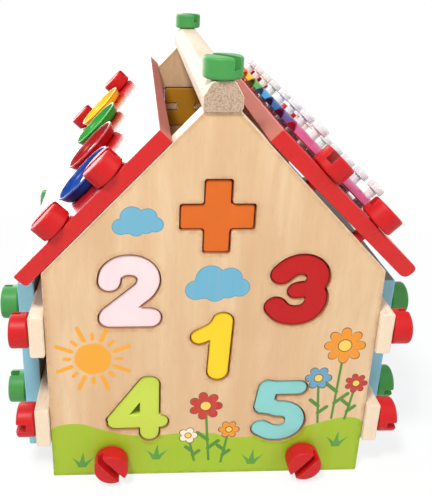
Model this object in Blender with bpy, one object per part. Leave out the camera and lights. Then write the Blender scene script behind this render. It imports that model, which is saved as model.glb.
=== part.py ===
# Wooden activity house: two puzzle gables, two screwed roofs, a ridge beam,
# spinning dishes on the left roof and a xylophone on the right roof.
# X runs to the right, Y from the front gable to the back one, Z up.
# The origin is the middle of the footprint, on the ground.
# Lengths are metres.
import math

import bmesh
import bpy
from mathutils import Matrix, Vector

# Fits between pieces
FIT_GAP = 0.0003
INSERT_GAP = 0.0006
INSERT_DROP = 0.0003
BOLT_HOLE_GAP = 0.0004
PIN_HOLE_GAP = 0.0005
CUT_OVERRUN = 0.004
FUSE_DEPTH = 0.0006
WELD = 0.00001
FINE_WELD = 0.000002

# Gables
HOUSE_DEPTH = 0.240
GABLE_WIDTH = 0.186
GABLE_THICKNESS = 0.013
EAVE_HEIGHT = 0.1383
APEX_HEIGHT = 0.226
APEX_FLAT = 0.0185
GABLE_FOOT_RADIUS = 0.001
GABLE_EAVE_RADIUS = 0.0022
HALF_DEPTH = HOUSE_DEPTH / 2
HALF_WIDTH = GABLE_WIDTH / 2
HALF_FLAT = APEX_FLAT / 2
SLOPE = math.atan2(APEX_HEIGHT - EAVE_HEIGHT, HALF_WIDTH - HALF_FLAT)
GABLE_MIDDLE = HALF_DEPTH - GABLE_THICKNESS / 2

# Side walls, battens and floor
WALL_THICKNESS = 0.010
WALL_HEIGHT = 0.1178
WALL_SETBACK = 0.0270
BATTEN_THICKNESS = 0.0084
BATTEN_HEIGHT = 0.026
BATTEN_OVERHANG = 0.0022
BATTEN_CENTRES = {"lower": 0.0375, "upper": 0.0995}
FLOOR_THICKNESS = 0.012
FLOOR_CENTRE = 0.0135
EDGE_RADIUS = 0.0012

# Ridge beam
BEAM_HEIGHT = 0.015
BEAM_WIDTH = 0.020
BEAM_TOP_WIDTH = 0.0115
BEAM_OVERHANG = 0.0016
BEAM_CORNER_RADIUS = 0.0014

# Roof panels. The right one stands off a little towards its eave.
ROOF_LENGTH = 0.112
ROOF_THICKNESS = 0.009
ROOF_START = 0.021
ROOF_RIDGE_GAP = {-1: 0.0003, 1: 0.0006}
ROOF_TILT = {-1: 0.0, 1: math.radians(1.9)}
ROOF_EAVE_RADII = {-1: (0.0012, 0.0024), 1: (0.0030, 0.0042)}
ROOF_RIDGE_RADIUS = 0.0008

# Slotted bolts
BOLT_HEAD_RADIUS = 0.010
BOLT_HEAD_HEIGHT = 0.011
BOLT_SHANK_RADIUS = 0.0035
BOLT_BASE_FILLET = 0.0010
BOLT_TOP_FILLET = 0.0013
SLOT_WIDTH = 0.0046
SLOT_DEPTH = 0.0062
ROOF_BOLT_PLACES = {"upper": 0.0355, "lower": 0.0765}
ROOF_BOLT_BITE = 0.012
RIDGE_BOLT_BITE = 0.018
WALL_BOLT_BITE = 0.020
FLOOR_BOLT_BITE = 0.022
FLOOR_BOLT_SPREAD_SHARE = 0.61828
FLOOR_BOLT_SPREAD = HALF_WIDTH * FLOOR_BOLT_SPREAD_SHARE
GREEN_BOLT_INSET = 0.038
HOLE_END_GAP = 0.0010

# Each slot stopped at its own turn: in degrees from the slope on a roof, and
# from level on the walls and gables.
ROOF_BOLT_TURNS = {
    ("left", "front", "upper"): 4, ("left", "front", "lower"): -5,
    ("left", "back", "upper"): 84, ("left", "back", "lower"): 8,
    ("right", "front", "upper"): 46, ("right", "front", "lower"): -4,
    ("right", "back", "upper"): 30, ("right", "back", "lower"): 68,
}
WALL_BOLT_TURNS = {"lower": 8, "upper": 80}
GREEN_BOLT_TURNS = {"lower": 15, "upper": 50}
RIDGE_BOLT_TURN = -50
FLOOR_BOLT_TURN = 50

# Spinning dishes, front to back. Shares are of the rim's spread past the
# foot and of the dish's height. The end dishes stay DISH_END_INSET inside
# the roof bolts.
DISH_COLOURS = {"blue": "dark_blue", "red": "red", "green": "leaf_green", "yellow": "yellow"}
DISH_OUTER_SHARES = ((0.0, 0.0), (0.68, 0.03), (0.84, 0.20), (1.0, 1.0))
DISH_INNER_SHARES = ((0.91, 1.0), (0.76, 0.42), (0.52, 0.25))
DISH_END_INSET = 0.0295
DISH_PITCH = (GABLE_MIDDLE - DISH_END_INSET) / ((len(DISH_COLOURS) - 1) / 2)
DISH_PLACE = 0.054
DISH_RADIUS = 0.020
DISH_HEIGHT = 0.0066
DISH_WALL = 0.0014
DISH_FOOT_RADIUS = 0.0085
DISH_HOLE_RADIUS = 0.0030
POST_RADIUS = 0.0024
POST_CAP_RADIUS = 0.0052
POST_CAP_HEIGHT = 0.0020
POST_CAP_TAPER_SHARE = 0.5
POST_CAP_TOP_SHARE = 0.7

# Xylophone keys, front to back, and the pins that hold them. The keys fill
# the roof between its bolts, and a key's width is a share of its pitch.
KEY_COLOURS = {
    "pink": "pink", "purple": "violet", "dark_blue": "dark_blue", "light_blue": "light_blue",
    "green": "leaf_green", "yellow": "yellow", "orange": "orange", "red": "red",
}
KEY_BOLT_CLEARANCE = 0.0005
KEY_WIDTH_SHARE = 0.7527
KEY_PITCHES = (len(KEY_COLOURS) - 1 + KEY_WIDTH_SHARE) / 2
KEY_PITCH = (GABLE_MIDDLE - BOLT_HEAD_RADIUS - KEY_BOLT_CLEARANCE) / KEY_PITCHES
KEY_WIDTH = KEY_PITCH * KEY_WIDTH_SHARE
KEY_PLACE = 0.0485
KEY_HALF_LENGTH = 0.037
KEY_LENGTH_STEP = 0.0012
KEY_CROWN = 0.0070
KEY_EDGE_HEIGHT = 0.0026
KEY_SHEET = 0.0013
KEY_PIN_SHARE = 0.66
PIN_RADIUS = 0.0026
PIN_COLLAR_RADIUS = 0.0034
PIN_CAP_RADIUS = 0.0050
PIN_CAP_UNDERSIDE = 0.0117
PIN_CAP_HEIGHT = 0.0040
PIN_CAP_TAPER_SHARE = 0.6

# Puzzle inserts. The signs hang below the apex, and the upper digits stay
# clear of the roof bolts by their distance square to the slope. Spreads are
# shares of the gable's half width.
INSERT_RECESS = 0.0012
INSERT_CHAMFER = 0.0006
UPPER_SPREAD_SHARE = 0.4962
LOWER_SPREAD_SHARE = 0.449462
UPPER_SPREAD = HALF_WIDTH * UPPER_SPREAD_SHARE
LOWER_SPREAD = HALF_WIDTH * LOWER_SPREAD_SHARE
SIGN_DROP = 0.0555
MIDDLE_DROP = 0.0796
UPPER_DROP = 0.0419
SIGN_ROW = APEX_HEIGHT - SIGN_DROP
MIDDLE_ROW = SIGN_ROW - MIDDLE_DROP
UPPER_ROW = EAVE_HEIGHT + (HALF_WIDTH - UPPER_SPREAD) * math.tan(SLOPE) - UPPER_DROP / math.cos(SLOPE)
LOWER_ROW = 0.0486
FIVE_SINK = 0.0028
CROSS_WIDTH = 0.0386
CROSS_HEIGHT = 0.0406
CROSS_BAR = 0.0136
EQUALS_RISE = 0.0062
EQUALS_WIDTH = 0.036
EQUALS_HEIGHT = 0.032
EQUALS_NOTCH = 0.0066
EQUALS_WAIST = 0.0145
SIGN_RADIUS = 0.0016

# Each gable's inserts: shape, place across and up as read from outside, colour
INSERTS = {
    -1: (("plus", 0, SIGN_ROW, "orange"), ("two", -UPPER_SPREAD, UPPER_ROW, "pale_pink"),
         ("three", UPPER_SPREAD, UPPER_ROW, "red"), ("one", 0, MIDDLE_ROW, "yellow"),
         ("four", -LOWER_SPREAD, LOWER_ROW, "lime"), ("five", LOWER_SPREAD, LOWER_ROW - FIVE_SINK, "turquoise")),
    1: (("equals", 0, SIGN_ROW + EQUALS_RISE, "ochre"), ("seven", -UPPER_SPREAD, UPPER_ROW, "light_blue"),
        ("eight", UPPER_SPREAD, UPPER_ROW, "leaf_green"), ("six", 0, MIDDLE_ROW, "violet"),
        ("nine", -LOWER_SPREAD, LOWER_ROW, "orange"), ("zero", LOWER_SPREAD, LOWER_ROW, "red")),
}

# Digits are drawn with a round pen, in shares of DIGIT_SIZE across and up
# from their middle. A stroke is its points and its pen.
DIGIT_SIZE = 0.040
WIDE_PEN = 0.0121
BAR_PEN = 0.0114
FLAG_PEN = 0.0098
SLIM_PEN = 0.0096
ONE_STEM_SHARES = ((0.136, 0.405), (0.102, -0.41))
ONE_FLAG_SHARES = ((-0.176, 0.165), (-0.079, 0.215), (0.022, 0.28), (0.108, 0.375))
TWO_ARCH_SHARES = (
    (-0.27, 0.155), (-0.24, 0.28), (-0.135, 0.37), (0.005, 0.398), (0.145, 0.365),
    (0.24, 0.27), (0.26, 0.14), (0.20, 0.015))
TWO_SLANT_SHARES = ((0.20, 0.015), (-0.265, -0.385))
TWO_FOOT_SHARES = ((-0.275, -0.408), (0.285, -0.408))
THREE_TOP_SHARES = (
    (-0.238, 0.246), (-0.135, 0.343), (0.007, 0.391), (0.145, 0.367), (0.243, 0.275),
    (0.261, 0.154), (0.207, 0.048))
THREE_MIDDLE_SHARES = ((0.207, 0.034), (-0.02, -0.005))
THREE_FOOT_SHARES = (
    (0.198, 0.014), (0.261, -0.101), (0.238, -0.241), (0.140, -0.352), (-0.020, -0.396),
    (-0.189, -0.360), (-0.296, -0.256))
FOUR_STEM_SHARES = ((0.173, 0.43), (0.173, -0.435))
FOUR_SLANT_SHARES = ((0.135, 0.45), (-0.335, -0.205))
FOUR_BAR_SHARES = ((-0.33, -0.24), (0.33, -0.23))
FOUR_EYE_SHARES = ((0.173, -0.23), (-0.275, -0.24), (0.15, 0.375))
FIVE_TOP_SHARES = ((-0.185, 0.405), (0.262, 0.405))
FIVE_BACK_SHARES = ((-0.185, 0.405), (-0.232, 0.083))
FIVE_TURN_SHARES = ((-0.215, 0.063), (-0.043, 0.039))
FIVE_BOWL_SHARES = (
    (-0.043, 0.034), (0.095, 0.020), (0.207, -0.054), (0.254, -0.185), (0.202, -0.317),
    (0.078, -0.395), (-0.094, -0.400), (-0.253, -0.317))
SIX_BACK_SHARES = ((0.20, 0.39), (0.035, 0.38), (-0.13, 0.265), (-0.23, 0.075), (-0.24, -0.15))
SEVEN_TOP_SHARES = ((-0.28, 0.415), (0.28, 0.415))
SEVEN_SLANT_SHARES = ((0.265, 0.40), (0.085, 0.075), (-0.09, -0.425))
STROKES = {
    "one": ((ONE_STEM_SHARES, WIDE_PEN), (ONE_FLAG_SHARES, FLAG_PEN)),
    "two": ((TWO_ARCH_SHARES, WIDE_PEN), (TWO_SLANT_SHARES, WIDE_PEN), (TWO_FOOT_SHARES, WIDE_PEN)),
    "three": ((THREE_TOP_SHARES, WIDE_PEN), (THREE_MIDDLE_SHARES, FLAG_PEN), (THREE_FOOT_SHARES, WIDE_PEN)),
    "four": ((FOUR_STEM_SHARES, BAR_PEN), (FOUR_SLANT_SHARES, SLIM_PEN), (FOUR_BAR_SHARES, SLIM_PEN)),
    "five": ((FIVE_TOP_SHARES, FLAG_PEN), (FIVE_BACK_SHARES, BAR_PEN),
             (FIVE_TURN_SHARES, FLAG_PEN), (FIVE_BOWL_SHARES, BAR_PEN)),
    "six": ((SIX_BACK_SHARES, WIDE_PEN),),
    "seven": ((SEVEN_TOP_SHARES, BAR_PEN), (SEVEN_SLANT_SHARES, WIDE_PEN)),
    "nine": ((SIX_BACK_SHARES, WIDE_PEN),),
}

# Closed loops of the wide pen: half width, half height, place across and up
LOWER_LOOP_SHARES = (0.235, 0.235, 0, -0.19)
UPPER_LOOP_SHARES = (0.195, 0.195, 0, 0.235)
ZERO_LOOP_SHARES = (0.235, 0.405, 0, 0)
LOOPS = {
    "six": (LOWER_LOOP_SHARES,), "nine": (LOWER_LOOP_SHARES,),
    "eight": (UPPER_LOOP_SHARES, LOWER_LOOP_SHARES), "zero": (ZERO_LOOP_SHARES,),
}

# Mesh fineness
HEAD_SEGMENTS = 12
DISH_SEGMENTS = 18
PIN_SEGMENTS = 6
POST_SEGMENTS = 8
LOOP_POINTS = 20
HOLE_SEGMENTS = 8
CORNER_STEPS = 3
CAP_STEPS = 5
CURVE_STEPS = 3
ARCH_STEPS = 6
SMOOTH_ANGLE = math.radians(32)
FLAT_ANGLE = math.radians(0.4)

# Colours, linear, and each kind of surface's roughness and metallic value
COLOURS = {
    "varnished": (0.78, 0.56, 0.34), "bare": (0.72, 0.53, 0.37),
    "red": (0.62, 0.025, 0.03), "green": (0.08, 0.43, 0.11),
    "grey_blue": (0.20, 0.45, 0.55), "orange": (0.80, 0.17, 0.025),
    "pale_pink": (0.95, 0.78, 0.78), "yellow": (0.95, 0.62, 0.04),
    "lime": (0.55, 0.75, 0.08), "turquoise": (0.28, 0.66, 0.62),
    "ochre": (0.60, 0.34, 0.02), "violet": (0.25, 0.10, 0.45),
    "dark_blue": (0.03, 0.10, 0.42), "light_blue": (0.12, 0.42, 0.80),
    "pink": (0.72, 0.12, 0.28), "leaf_green": (0.16, 0.55, 0.14),
}
SURFACES = {
    "wood": (0.55, 0.0), "board": (0.35, 0.0), "insert": (0.40, 0.0),
    "bolt": (0.30, 0.0), "dish": (0.25, 0.0), "key": (0.30, 0.6),
}

BATTEN_INNER = HALF_WIDTH + FIT_GAP
BATTEN_OUTER = BATTEN_INNER + BATTEN_THICKNESS
WALL_INNER = BATTEN_OUTER + FIT_GAP
WALL_OUTER = WALL_INNER + WALL_THICKNESS
SIDE_NAMES = {-1: "left", 1: "right"}
END_NAMES = {-1: "front", 1: "back"}

for old in list(bpy.data.objects):
    bpy.data.objects.remove(old, do_unlink=True)

MATERIALS = {}


# Small tools
def material(colour, surface):
    name = f"{colour}_{surface}"
    if name not in MATERIALS:
        made = bpy.data.materials.new(name)
        made.use_nodes = True
        shader = made.node_tree.nodes["Principled BSDF"]
        roughness, metallic = SURFACES[surface]
        shader.inputs["Base Color"].default_value = (*COLOURS[colour], 1.0)
        shader.inputs["Roughness"].default_value = roughness
        shader.inputs["Metallic"].default_value = metallic
        MATERIALS[name] = made
    return MATERIALS[name]


def scratch(mesh):
    tool = bpy.data.objects.new("tool", bpy.data.meshes.new("tool"))
    bmesh.ops.remove_doubles(mesh, verts=mesh.verts, dist=WELD)
    bmesh.ops.recalc_face_normals(mesh, faces=mesh.faces)
    mesh.to_mesh(tool.data)
    mesh.free()
    bpy.context.scene.collection.objects.link(tool)
    return tool


def join(meshes):
    # Loose solids gathered in one mesh, so one boolean serves them all.
    whole = bmesh.new()
    for mesh in meshes:
        part = bpy.data.meshes.new("part")
        bmesh.ops.remove_doubles(mesh, verts=mesh.verts, dist=WELD)
        bmesh.ops.recalc_face_normals(mesh, faces=mesh.faces)
        mesh.to_mesh(part)
        mesh.free()
        whole.from_mesh(part)
        bpy.data.meshes.remove(part)
    return whole


def combine(target, mesh, operation):
    tool = scratch(mesh)
    step = target.modifiers.new(operation, "BOOLEAN")
    step.operation = operation
    step.solver = "EXACT"
    step.object = tool
    graph = bpy.context.evaluated_depsgraph_get()
    result = bpy.data.meshes.new_from_object(target.evaluated_get(graph))
    target.modifiers.clear()
    before = target.data
    target.data = result
    bpy.data.meshes.remove(before)
    bpy.data.objects.remove(tool, do_unlink=True)


def piece(name, mesh, look, cuts=(), adds=(), origin=(0, 0, 0)):
    # One finished sub-part: body, unions, cuts, material, joint origin.
    made = scratch(mesh)
    made.name = name
    for add in adds:
        combine(made, add, "UNION")
    for cut in cuts:
        combine(made, cut, "DIFFERENCE")
    tidy = bmesh.new()
    tidy.from_mesh(made.data)
    bmesh.ops.remove_doubles(tidy, verts=tidy.verts, dist=FINE_WELD)
    bmesh.ops.dissolve_limit(tidy, angle_limit=FLAT_ANGLE, verts=tidy.verts, edges=tidy.edges)
    bmesh.ops.triangulate(tidy, faces=tidy.faces)
    bmesh.ops.recalc_face_normals(tidy, faces=tidy.faces)
    bmesh.ops.translate(tidy, verts=tidy.verts, vec=-Vector(origin))
    for face in tidy.faces:
        face.material_index = 0
    tidy.to_mesh(made.data)
    tidy.free()
    made.location = origin
    made.data.name = name
    made.data.materials.clear()
    made.data.materials.append(look)
    made.data.shade_smooth()
    made.data.set_sharp_from_angle(angle=SMOOTH_ANGLE)
    return made


# Outlines
def rounded(corners, radii):
    # A closed outline with an arc of its own radius at each corner.
    outline = []
    count = len(corners)
    for i in range(count):
        here = Vector(corners[i])
        radius = radii[i] if isinstance(radii, (tuple, list)) else radii
        before = (Vector(corners[i - 1]) - here).normalized()
        after = (Vector(corners[(i + 1) % count]) - here).normalized()
        if radius <= 0:
            outline.append(here)
            continue
        half = before.angle(after) / 2
        reach = radius / math.tan(half)
        start = here + before * reach
        end = here + after * reach
        centre = here + (before + after).normalized() * (radius / math.sin(half))
        turn = (start - centre).angle_signed(end - centre)
        for k in range(CORNER_STEPS + 1):
            arm = (start - centre).copy()
            arm.rotate(Matrix.Rotation(-turn * k / CORNER_STEPS, 2))
            outline.append(centre + arm)
    return outline


def curve(points):
    # A smooth path through the given points.
    path = []
    last = len(points) - 1
    for i in range(last):
        p0 = Vector(points[max(i - 1, 0)])
        p1 = Vector(points[i])
        p2 = Vector(points[i + 1])
        p3 = Vector(points[min(i + 2, last)])
        for k in range(CURVE_STEPS):
            t = k / CURVE_STEPS
            a = p1 * 2
            b = (p2 - p0) * t
            c = (p0 * 2 - p1 * 5 + p2 * 4 - p3) * t ** 2
            d = (p1 * 3 - p0 - p2 * 3 + p3) * t ** 3
            path.append((a + b + c + d) / 2)
    path.append(Vector(points[-1]))
    return path


def unfold(edge, sides):
    # Where a tight bend makes the edge run backwards, it waits in place.
    for i in range(1, len(edge)):
        way = Vector((sides[i].y, -sides[i].x))
        if (edge[i] - edge[i - 1]).dot(way) < 0:
            edge[i] = edge[i - 1].copy()
    return edge


def stroke(points, width):
    # The outline of a round-ended pen stroke.
    through = curve(points) if len(points) > 2 else map(Vector, points)
    path = [p * DIGIT_SIZE for p in through]
    half = width / 2
    sides = []
    for i, here in enumerate(path):
        ahead = path[min(i + 1, len(path) - 1)]
        behind = path[max(i - 1, 0)]
        way = (ahead - behind).normalized()
        sides.append(Vector((-way.y, way.x)) * half)
    left = unfold([p + n for p, n in zip(path, sides)], sides)
    right = unfold([p - n for p, n in zip(path, sides)], sides)

    def cap(centre, arm):
        turned = []
        for k in range(1, CAP_STEPS):
            spoke = arm.copy()
            spoke.rotate(Matrix.Rotation(-math.pi * k / CAP_STEPS, 2))
            turned.append(centre + spoke)
        return turned

    return left + cap(path[-1], sides[-1]) + right[::-1] + cap(path[0], -sides[0])


def box_outline(x0, x1, z0, z1):
    return [(x0, z0), (x1, z0), (x1, z1), (x0, z1)]


# Solids
def loft(outlines, frame):
    # Stacks equal-count outlines (each with its own height) into a solid.
    mesh = bmesh.new()
    rings = []
    for outline, height in outlines:
        rings.append([mesh.verts.new(frame @ Vector((p[0], p[1], height))) for p in outline])
    for lower, upper in zip(rings, rings[1:]):
        for i in range(len(lower)):
            j = (i + 1) % len(lower)
            mesh.faces.new((lower[i], lower[j], upper[j], upper[i]))
    mesh.faces.new(rings[0][::-1])
    mesh.faces.new(rings[-1])
    return mesh


def tube(left, right, frame, heights):
    # A ring-shaped solid between two closed outlines.
    mesh = bmesh.new()
    rows = []
    for (outer, inner), height in zip(zip(left, right), heights):
        rows.append(([mesh.verts.new(frame @ Vector((*p, height))) for p in outer],
                     [mesh.verts.new(frame @ Vector((*p, height))) for p in inner]))
    count = len(rows[0][0])
    for i in range(count):
        j = (i + 1) % count
        for (outer_a, inner_a), (outer_b, inner_b) in zip(rows, rows[1:]):
            mesh.faces.new((outer_a[i], outer_a[j], outer_b[j], outer_b[i]))
            mesh.faces.new((inner_a[j], inner_a[i], inner_b[i], inner_b[j]))
        for outer, inner in (rows[0], rows[-1]):
            mesh.faces.new((outer[i], outer[j], inner[j], inner[i]))
    return mesh


def prism(outline, frame, start, end):
    return loft(((outline, start), (outline, end)), frame)


def lathe(profile, frame, segments):
    # Turns a profile of (radius, height) pairs about the frame's Z axis.
    mesh = bmesh.new()
    rings = []
    for radius, height in profile:
        if radius == 0:
            rings.append([mesh.verts.new(frame @ Vector((0, 0, height)))])
            continue
        ring = []
        for k in range(segments):
            angle = math.tau * k / segments
            spot = Vector((radius * math.cos(angle), radius * math.sin(angle), height))
            ring.append(mesh.verts.new(frame @ spot))
        rings.append(ring)
    pairs = list(zip(rings, rings[1:]))
    if profile[0][0] > 0:
        pairs.append((rings[-1], rings[0]))
    for lower, upper in pairs:
        for k in range(segments):
            n = (k + 1) % segments
            if len(lower) == 1:
                mesh.faces.new((lower[0], upper[n], upper[k]))
            elif len(upper) == 1:
                mesh.faces.new((lower[k], lower[n], upper[0]))
            else:
                mesh.faces.new((lower[k], lower[n], upper[n], upper[k]))
    return mesh


def axes(origin, x_way, y_way, z_way):
    turn = Matrix((x_way, y_way, z_way)).transposed().to_4x4()
    return Matrix.Translation(origin) @ turn


# Frames: each has its Z axis pointing out of the surface it belongs to
def gable_frame(end):
    # X across as read from outside, Y up, Z out of the gable's outer face.
    return axes((0, end * HALF_DEPTH, 0), (-end, 0, 0), (0, 0, 1), (0, end, 0))


def roof_frame(side):
    # X down the slope, Y along the house, Z out of the panel's outer face.
    tilt = SLOPE - ROOF_TILT[side]
    along = Vector((side * math.cos(SLOPE), 0, -math.sin(SLOPE)))
    out = Vector((side * math.sin(SLOPE), 0, math.cos(SLOPE)))
    start = Vector((side * HALF_FLAT, 0, APEX_HEIGHT)) + along * ROOF_START + out * ROOF_RIDGE_GAP[side]
    down = Vector((side * math.cos(tilt), 0, -math.sin(tilt)))
    up = Vector((side * math.sin(tilt), 0, math.cos(tilt)))
    return axes(start + up * ROOF_THICKNESS, down, (0, 1, 0), up)


def side_frame(side, face):
    # Z out of a side wall, at the distance face from the middle.
    return axes((side * face, 0, 0), (0, side, 0), (0, 0, 1), (side, 0, 0))


def spot(frame, x, y, z=0):
    return frame @ Matrix.Translation((x, y, z))


ACROSS = axes((0, 0, 0), (1, 0, 0), (0, 0, 1), (0, -1, 0))


# Bolts and their holes
def bolt_mesh(frame, shank):
    r, h = BOLT_HEAD_RADIUS, BOLT_HEAD_HEIGHT
    s = BOLT_SHANK_RADIUS
    profile = (
        (0, -shank), (s, -shank), (s, 0), (r - BOLT_BASE_FILLET, 0), (r, BOLT_BASE_FILLET),
        (r, h - BOLT_TOP_FILLET), (r - BOLT_TOP_FILLET, h), (0, h))
    return lathe(profile, frame, HEAD_SEGMENTS)


def slot_mesh(frame, turn):
    # The turn is in degrees.
    turned = frame @ Matrix.Rotation(math.radians(turn), 4, "Z")
    reach = BOLT_HEAD_RADIUS + CUT_OVERRUN
    half = SLOT_WIDTH / 2
    top = BOLT_HEAD_HEIGHT
    return prism(box_outline(-reach, reach, -half, half), turned, top - SLOT_DEPTH, top + CUT_OVERRUN)


def hole_mesh(frame, depth, lead=CUT_OVERRUN):
    # A round hole running down the frame's Z axis, from lead above it.
    radius = BOLT_SHANK_RADIUS + BOLT_HOLE_GAP
    return lathe(((0, -depth), (radius, -depth), (radius, lead), (0, lead)), frame, HOLE_SEGMENTS)


def bolt(name, frame, shank, colour, turn):
    place = frame @ Vector((0, 0, FIT_GAP))
    seated = Matrix.Translation(place) @ frame.to_3x3().to_4x4()
    piece(name, bolt_mesh(seated, shank), material(colour, "bolt"),
          cuts=(slot_mesh(seated, turn),), origin=place)


# Where every bolt goes: frames on the outer faces they are driven into
def roof_bolt_frames(side):
    frame = roof_frame(side)
    for end in (-1, 1):
        for level, along in ROOF_BOLT_PLACES.items():
            yield END_NAMES[end], level, end, spot(frame, along, end * GABLE_MIDDLE)


def wall_bolt_frames(side):
    frame = side_frame(side, BATTEN_OUTER)
    for end in (-1, 1):
        for level, height in BATTEN_CENTRES.items():
            yield END_NAMES[end], level, end, spot(frame, side * end * GABLE_MIDDLE, height)


def green_bolt_frames(side, level):
    frame = side_frame(side, WALL_OUTER)
    for end in (-1, 1):
        yield spot(frame, side * end * (HALF_DEPTH - GREEN_BOLT_INSET), BATTEN_CENTRES[level])


def floor_bolt_frames(end):
    frame = gable_frame(end)
    for side in (-1, 1):
        yield side, spot(frame, side * FLOOR_BOLT_SPREAD, FLOOR_CENTRE)


def ridge_bolt_frame(end):
    top = APEX_HEIGHT + FIT_GAP + BEAM_HEIGHT
    return Matrix.Translation((0, end * GABLE_MIDDLE, top))


ROOF_SHANK = ROOF_THICKNESS + ROOF_BOLT_BITE
WALL_SHANK = BATTEN_THICKNESS + WALL_BOLT_BITE
RIDGE_SHANK = BEAM_HEIGHT + RIDGE_BOLT_BITE
FLOOR_SHANK = GABLE_THICKNESS + FLOOR_BOLT_BITE
GREEN_SHANK = WALL_THICKNESS + FIT_GAP + BATTEN_THICKNESS / 2


# Puzzle shapes
def sign_corners(shape, grow):
    # Straight-sided signs, grown or shrunk evenly all round.
    if shape == "plus":
        wide, tall, bar = CROSS_WIDTH / 2 + grow, CROSS_HEIGHT / 2 + grow, CROSS_BAR / 2 + grow
        return [(bar, -tall), (bar, -bar), (wide, -bar), (wide, bar), (bar, bar), (bar, tall),
                (-bar, tall), (-bar, bar), (-wide, bar), (-wide, -bar), (-bar, -bar), (-bar, -tall)]
    wide, tall = EQUALS_WIDTH / 2 + grow, EQUALS_HEIGHT / 2 + grow
    waist, notch = EQUALS_WAIST / 2 + grow, EQUALS_NOTCH / 2 - grow
    return [(wide, -tall), (wide, -notch), (waist, -notch), (waist, notch), (wide, notch), (wide, tall),
            (-wide, tall), (-wide, notch), (-waist, notch), (-waist, -notch), (-wide, -notch), (-wide, -tall)]


def loop_path(loop):
    wide, tall, x, y = loop
    turns = [math.tau * k / LOOP_POINTS for k in range(LOOP_POINTS)]
    return [Vector((x + wide * math.cos(a), y + tall * math.sin(a))) * DIGIT_SIZE for a in turns]


def loop_sides(loop, width):
    path = loop_path(loop)
    count = len(path)
    outer, inner = [], []
    for i, here in enumerate(path):
        way = (path[(i + 1) % count] - path[i - 1]).normalized()
        arm = Vector((way.y, -way.x)) * (width / 2)
        outer.append(here + arm)
        inner.append(here - arm)
    return outer, inner


def insert_solids(shape, frame, start, end, grow=0, chamfer=0, filled=False):
    # The overlapping solids whose union is one insert, or the hole for it.
    # A hole is filled: it keeps no island inside the eye of a 0, 4, 6, 8 or 9.
    turned = frame @ Matrix.Rotation(math.pi, 4, "Z") if shape == "nine" else frame
    levels = ((start, 0), (end - chamfer, 0), (end, -chamfer)) if chamfer else ((start, 0), (end, 0))
    if shape in ("plus", "equals"):
        layers = [(rounded(sign_corners(shape, grow + step), SIGN_RADIUS), height) for height, step in levels]
        return [loft(layers, turned)]
    solids = []
    for points, width in STROKES.get(shape, ()):
        layers = [(stroke(points, width + 2 * (grow + step)), height) for height, step in levels]
        solids.append(loft(layers, turned))
    for loop in LOOPS.get(shape, ()):
        if filled:
            outer = loop_sides(loop, WIDE_PEN + 2 * grow)[0]
            solids.append(prism(outer, turned, start, end))
            continue
        sides = [loop_sides(loop, WIDE_PEN + 2 * (grow + step)) for _, step in levels]
        solids.append(tube([s[0] for s in sides], [s[1] for s in sides], turned, [h for h, _ in levels]))
    if filled and shape == "four":
        solids.append(prism([Vector(p) * DIGIT_SIZE for p in FOUR_EYE_SHARES], turned, start, end))
    return solids


# Gables and inserts
def gable(end):
    outline = rounded(
        ((-HALF_WIDTH, 0), (HALF_WIDTH, 0), (HALF_WIDTH, EAVE_HEIGHT), (HALF_FLAT, APEX_HEIGHT),
         (-HALF_FLAT, APEX_HEIGHT), (-HALF_WIDTH, EAVE_HEIGHT)),
        (GABLE_FOOT_RADIUS, GABLE_FOOT_RADIUS, GABLE_EAVE_RADIUS, GABLE_FOOT_RADIUS,
         GABLE_FOOT_RADIUS, GABLE_EAVE_RADIUS))
    frame = gable_frame(end)
    cuts = []
    for shape, x, z, _ in INSERTS[end]:
        cuts += insert_solids(shape, spot(frame, x, z), -GABLE_THICKNESS - CUT_OVERRUN, CUT_OVERRUN,
                              INSERT_GAP, filled=True)
    holes = [hole_mesh(ridge_bolt_frame(end), RIDGE_SHANK + HOLE_END_GAP)]
    for _, place in floor_bolt_frames(end):
        holes.append(hole_mesh(place, GABLE_THICKNESS + CUT_OVERRUN))
    for side in (-1, 1):
        for _, _, far, place in roof_bolt_frames(side):
            if far == end:
                holes.append(hole_mesh(place, ROOF_SHANK + HOLE_END_GAP))
        for _, _, far, place in wall_bolt_frames(side):
            if far == end:
                holes.append(hole_mesh(place, WALL_SHANK + HOLE_END_GAP))
    piece(END_NAMES[end] + "_gable", prism(outline, frame, -GABLE_THICKNESS, 0),
          material("varnished", "wood"), cuts=cuts + [join(holes)])


def inserts(end):
    frame = gable_frame(end)
    for shape, x, z, colour in INSERTS[end]:
        place = spot(frame, x, z - INSERT_DROP)
        solids = insert_solids(shape, place, FIT_GAP - GABLE_THICKNESS, -INSERT_RECESS, 0, INSERT_CHAMFER)
        centre = place @ Vector((0, 0, -GABLE_THICKNESS / 2))
        piece("insert_" + shape, solids[0], material(colour, "insert"), adds=solids[1:], origin=centre)


for end in (-1, 1):
    gable(end)
    inserts(end)


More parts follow.
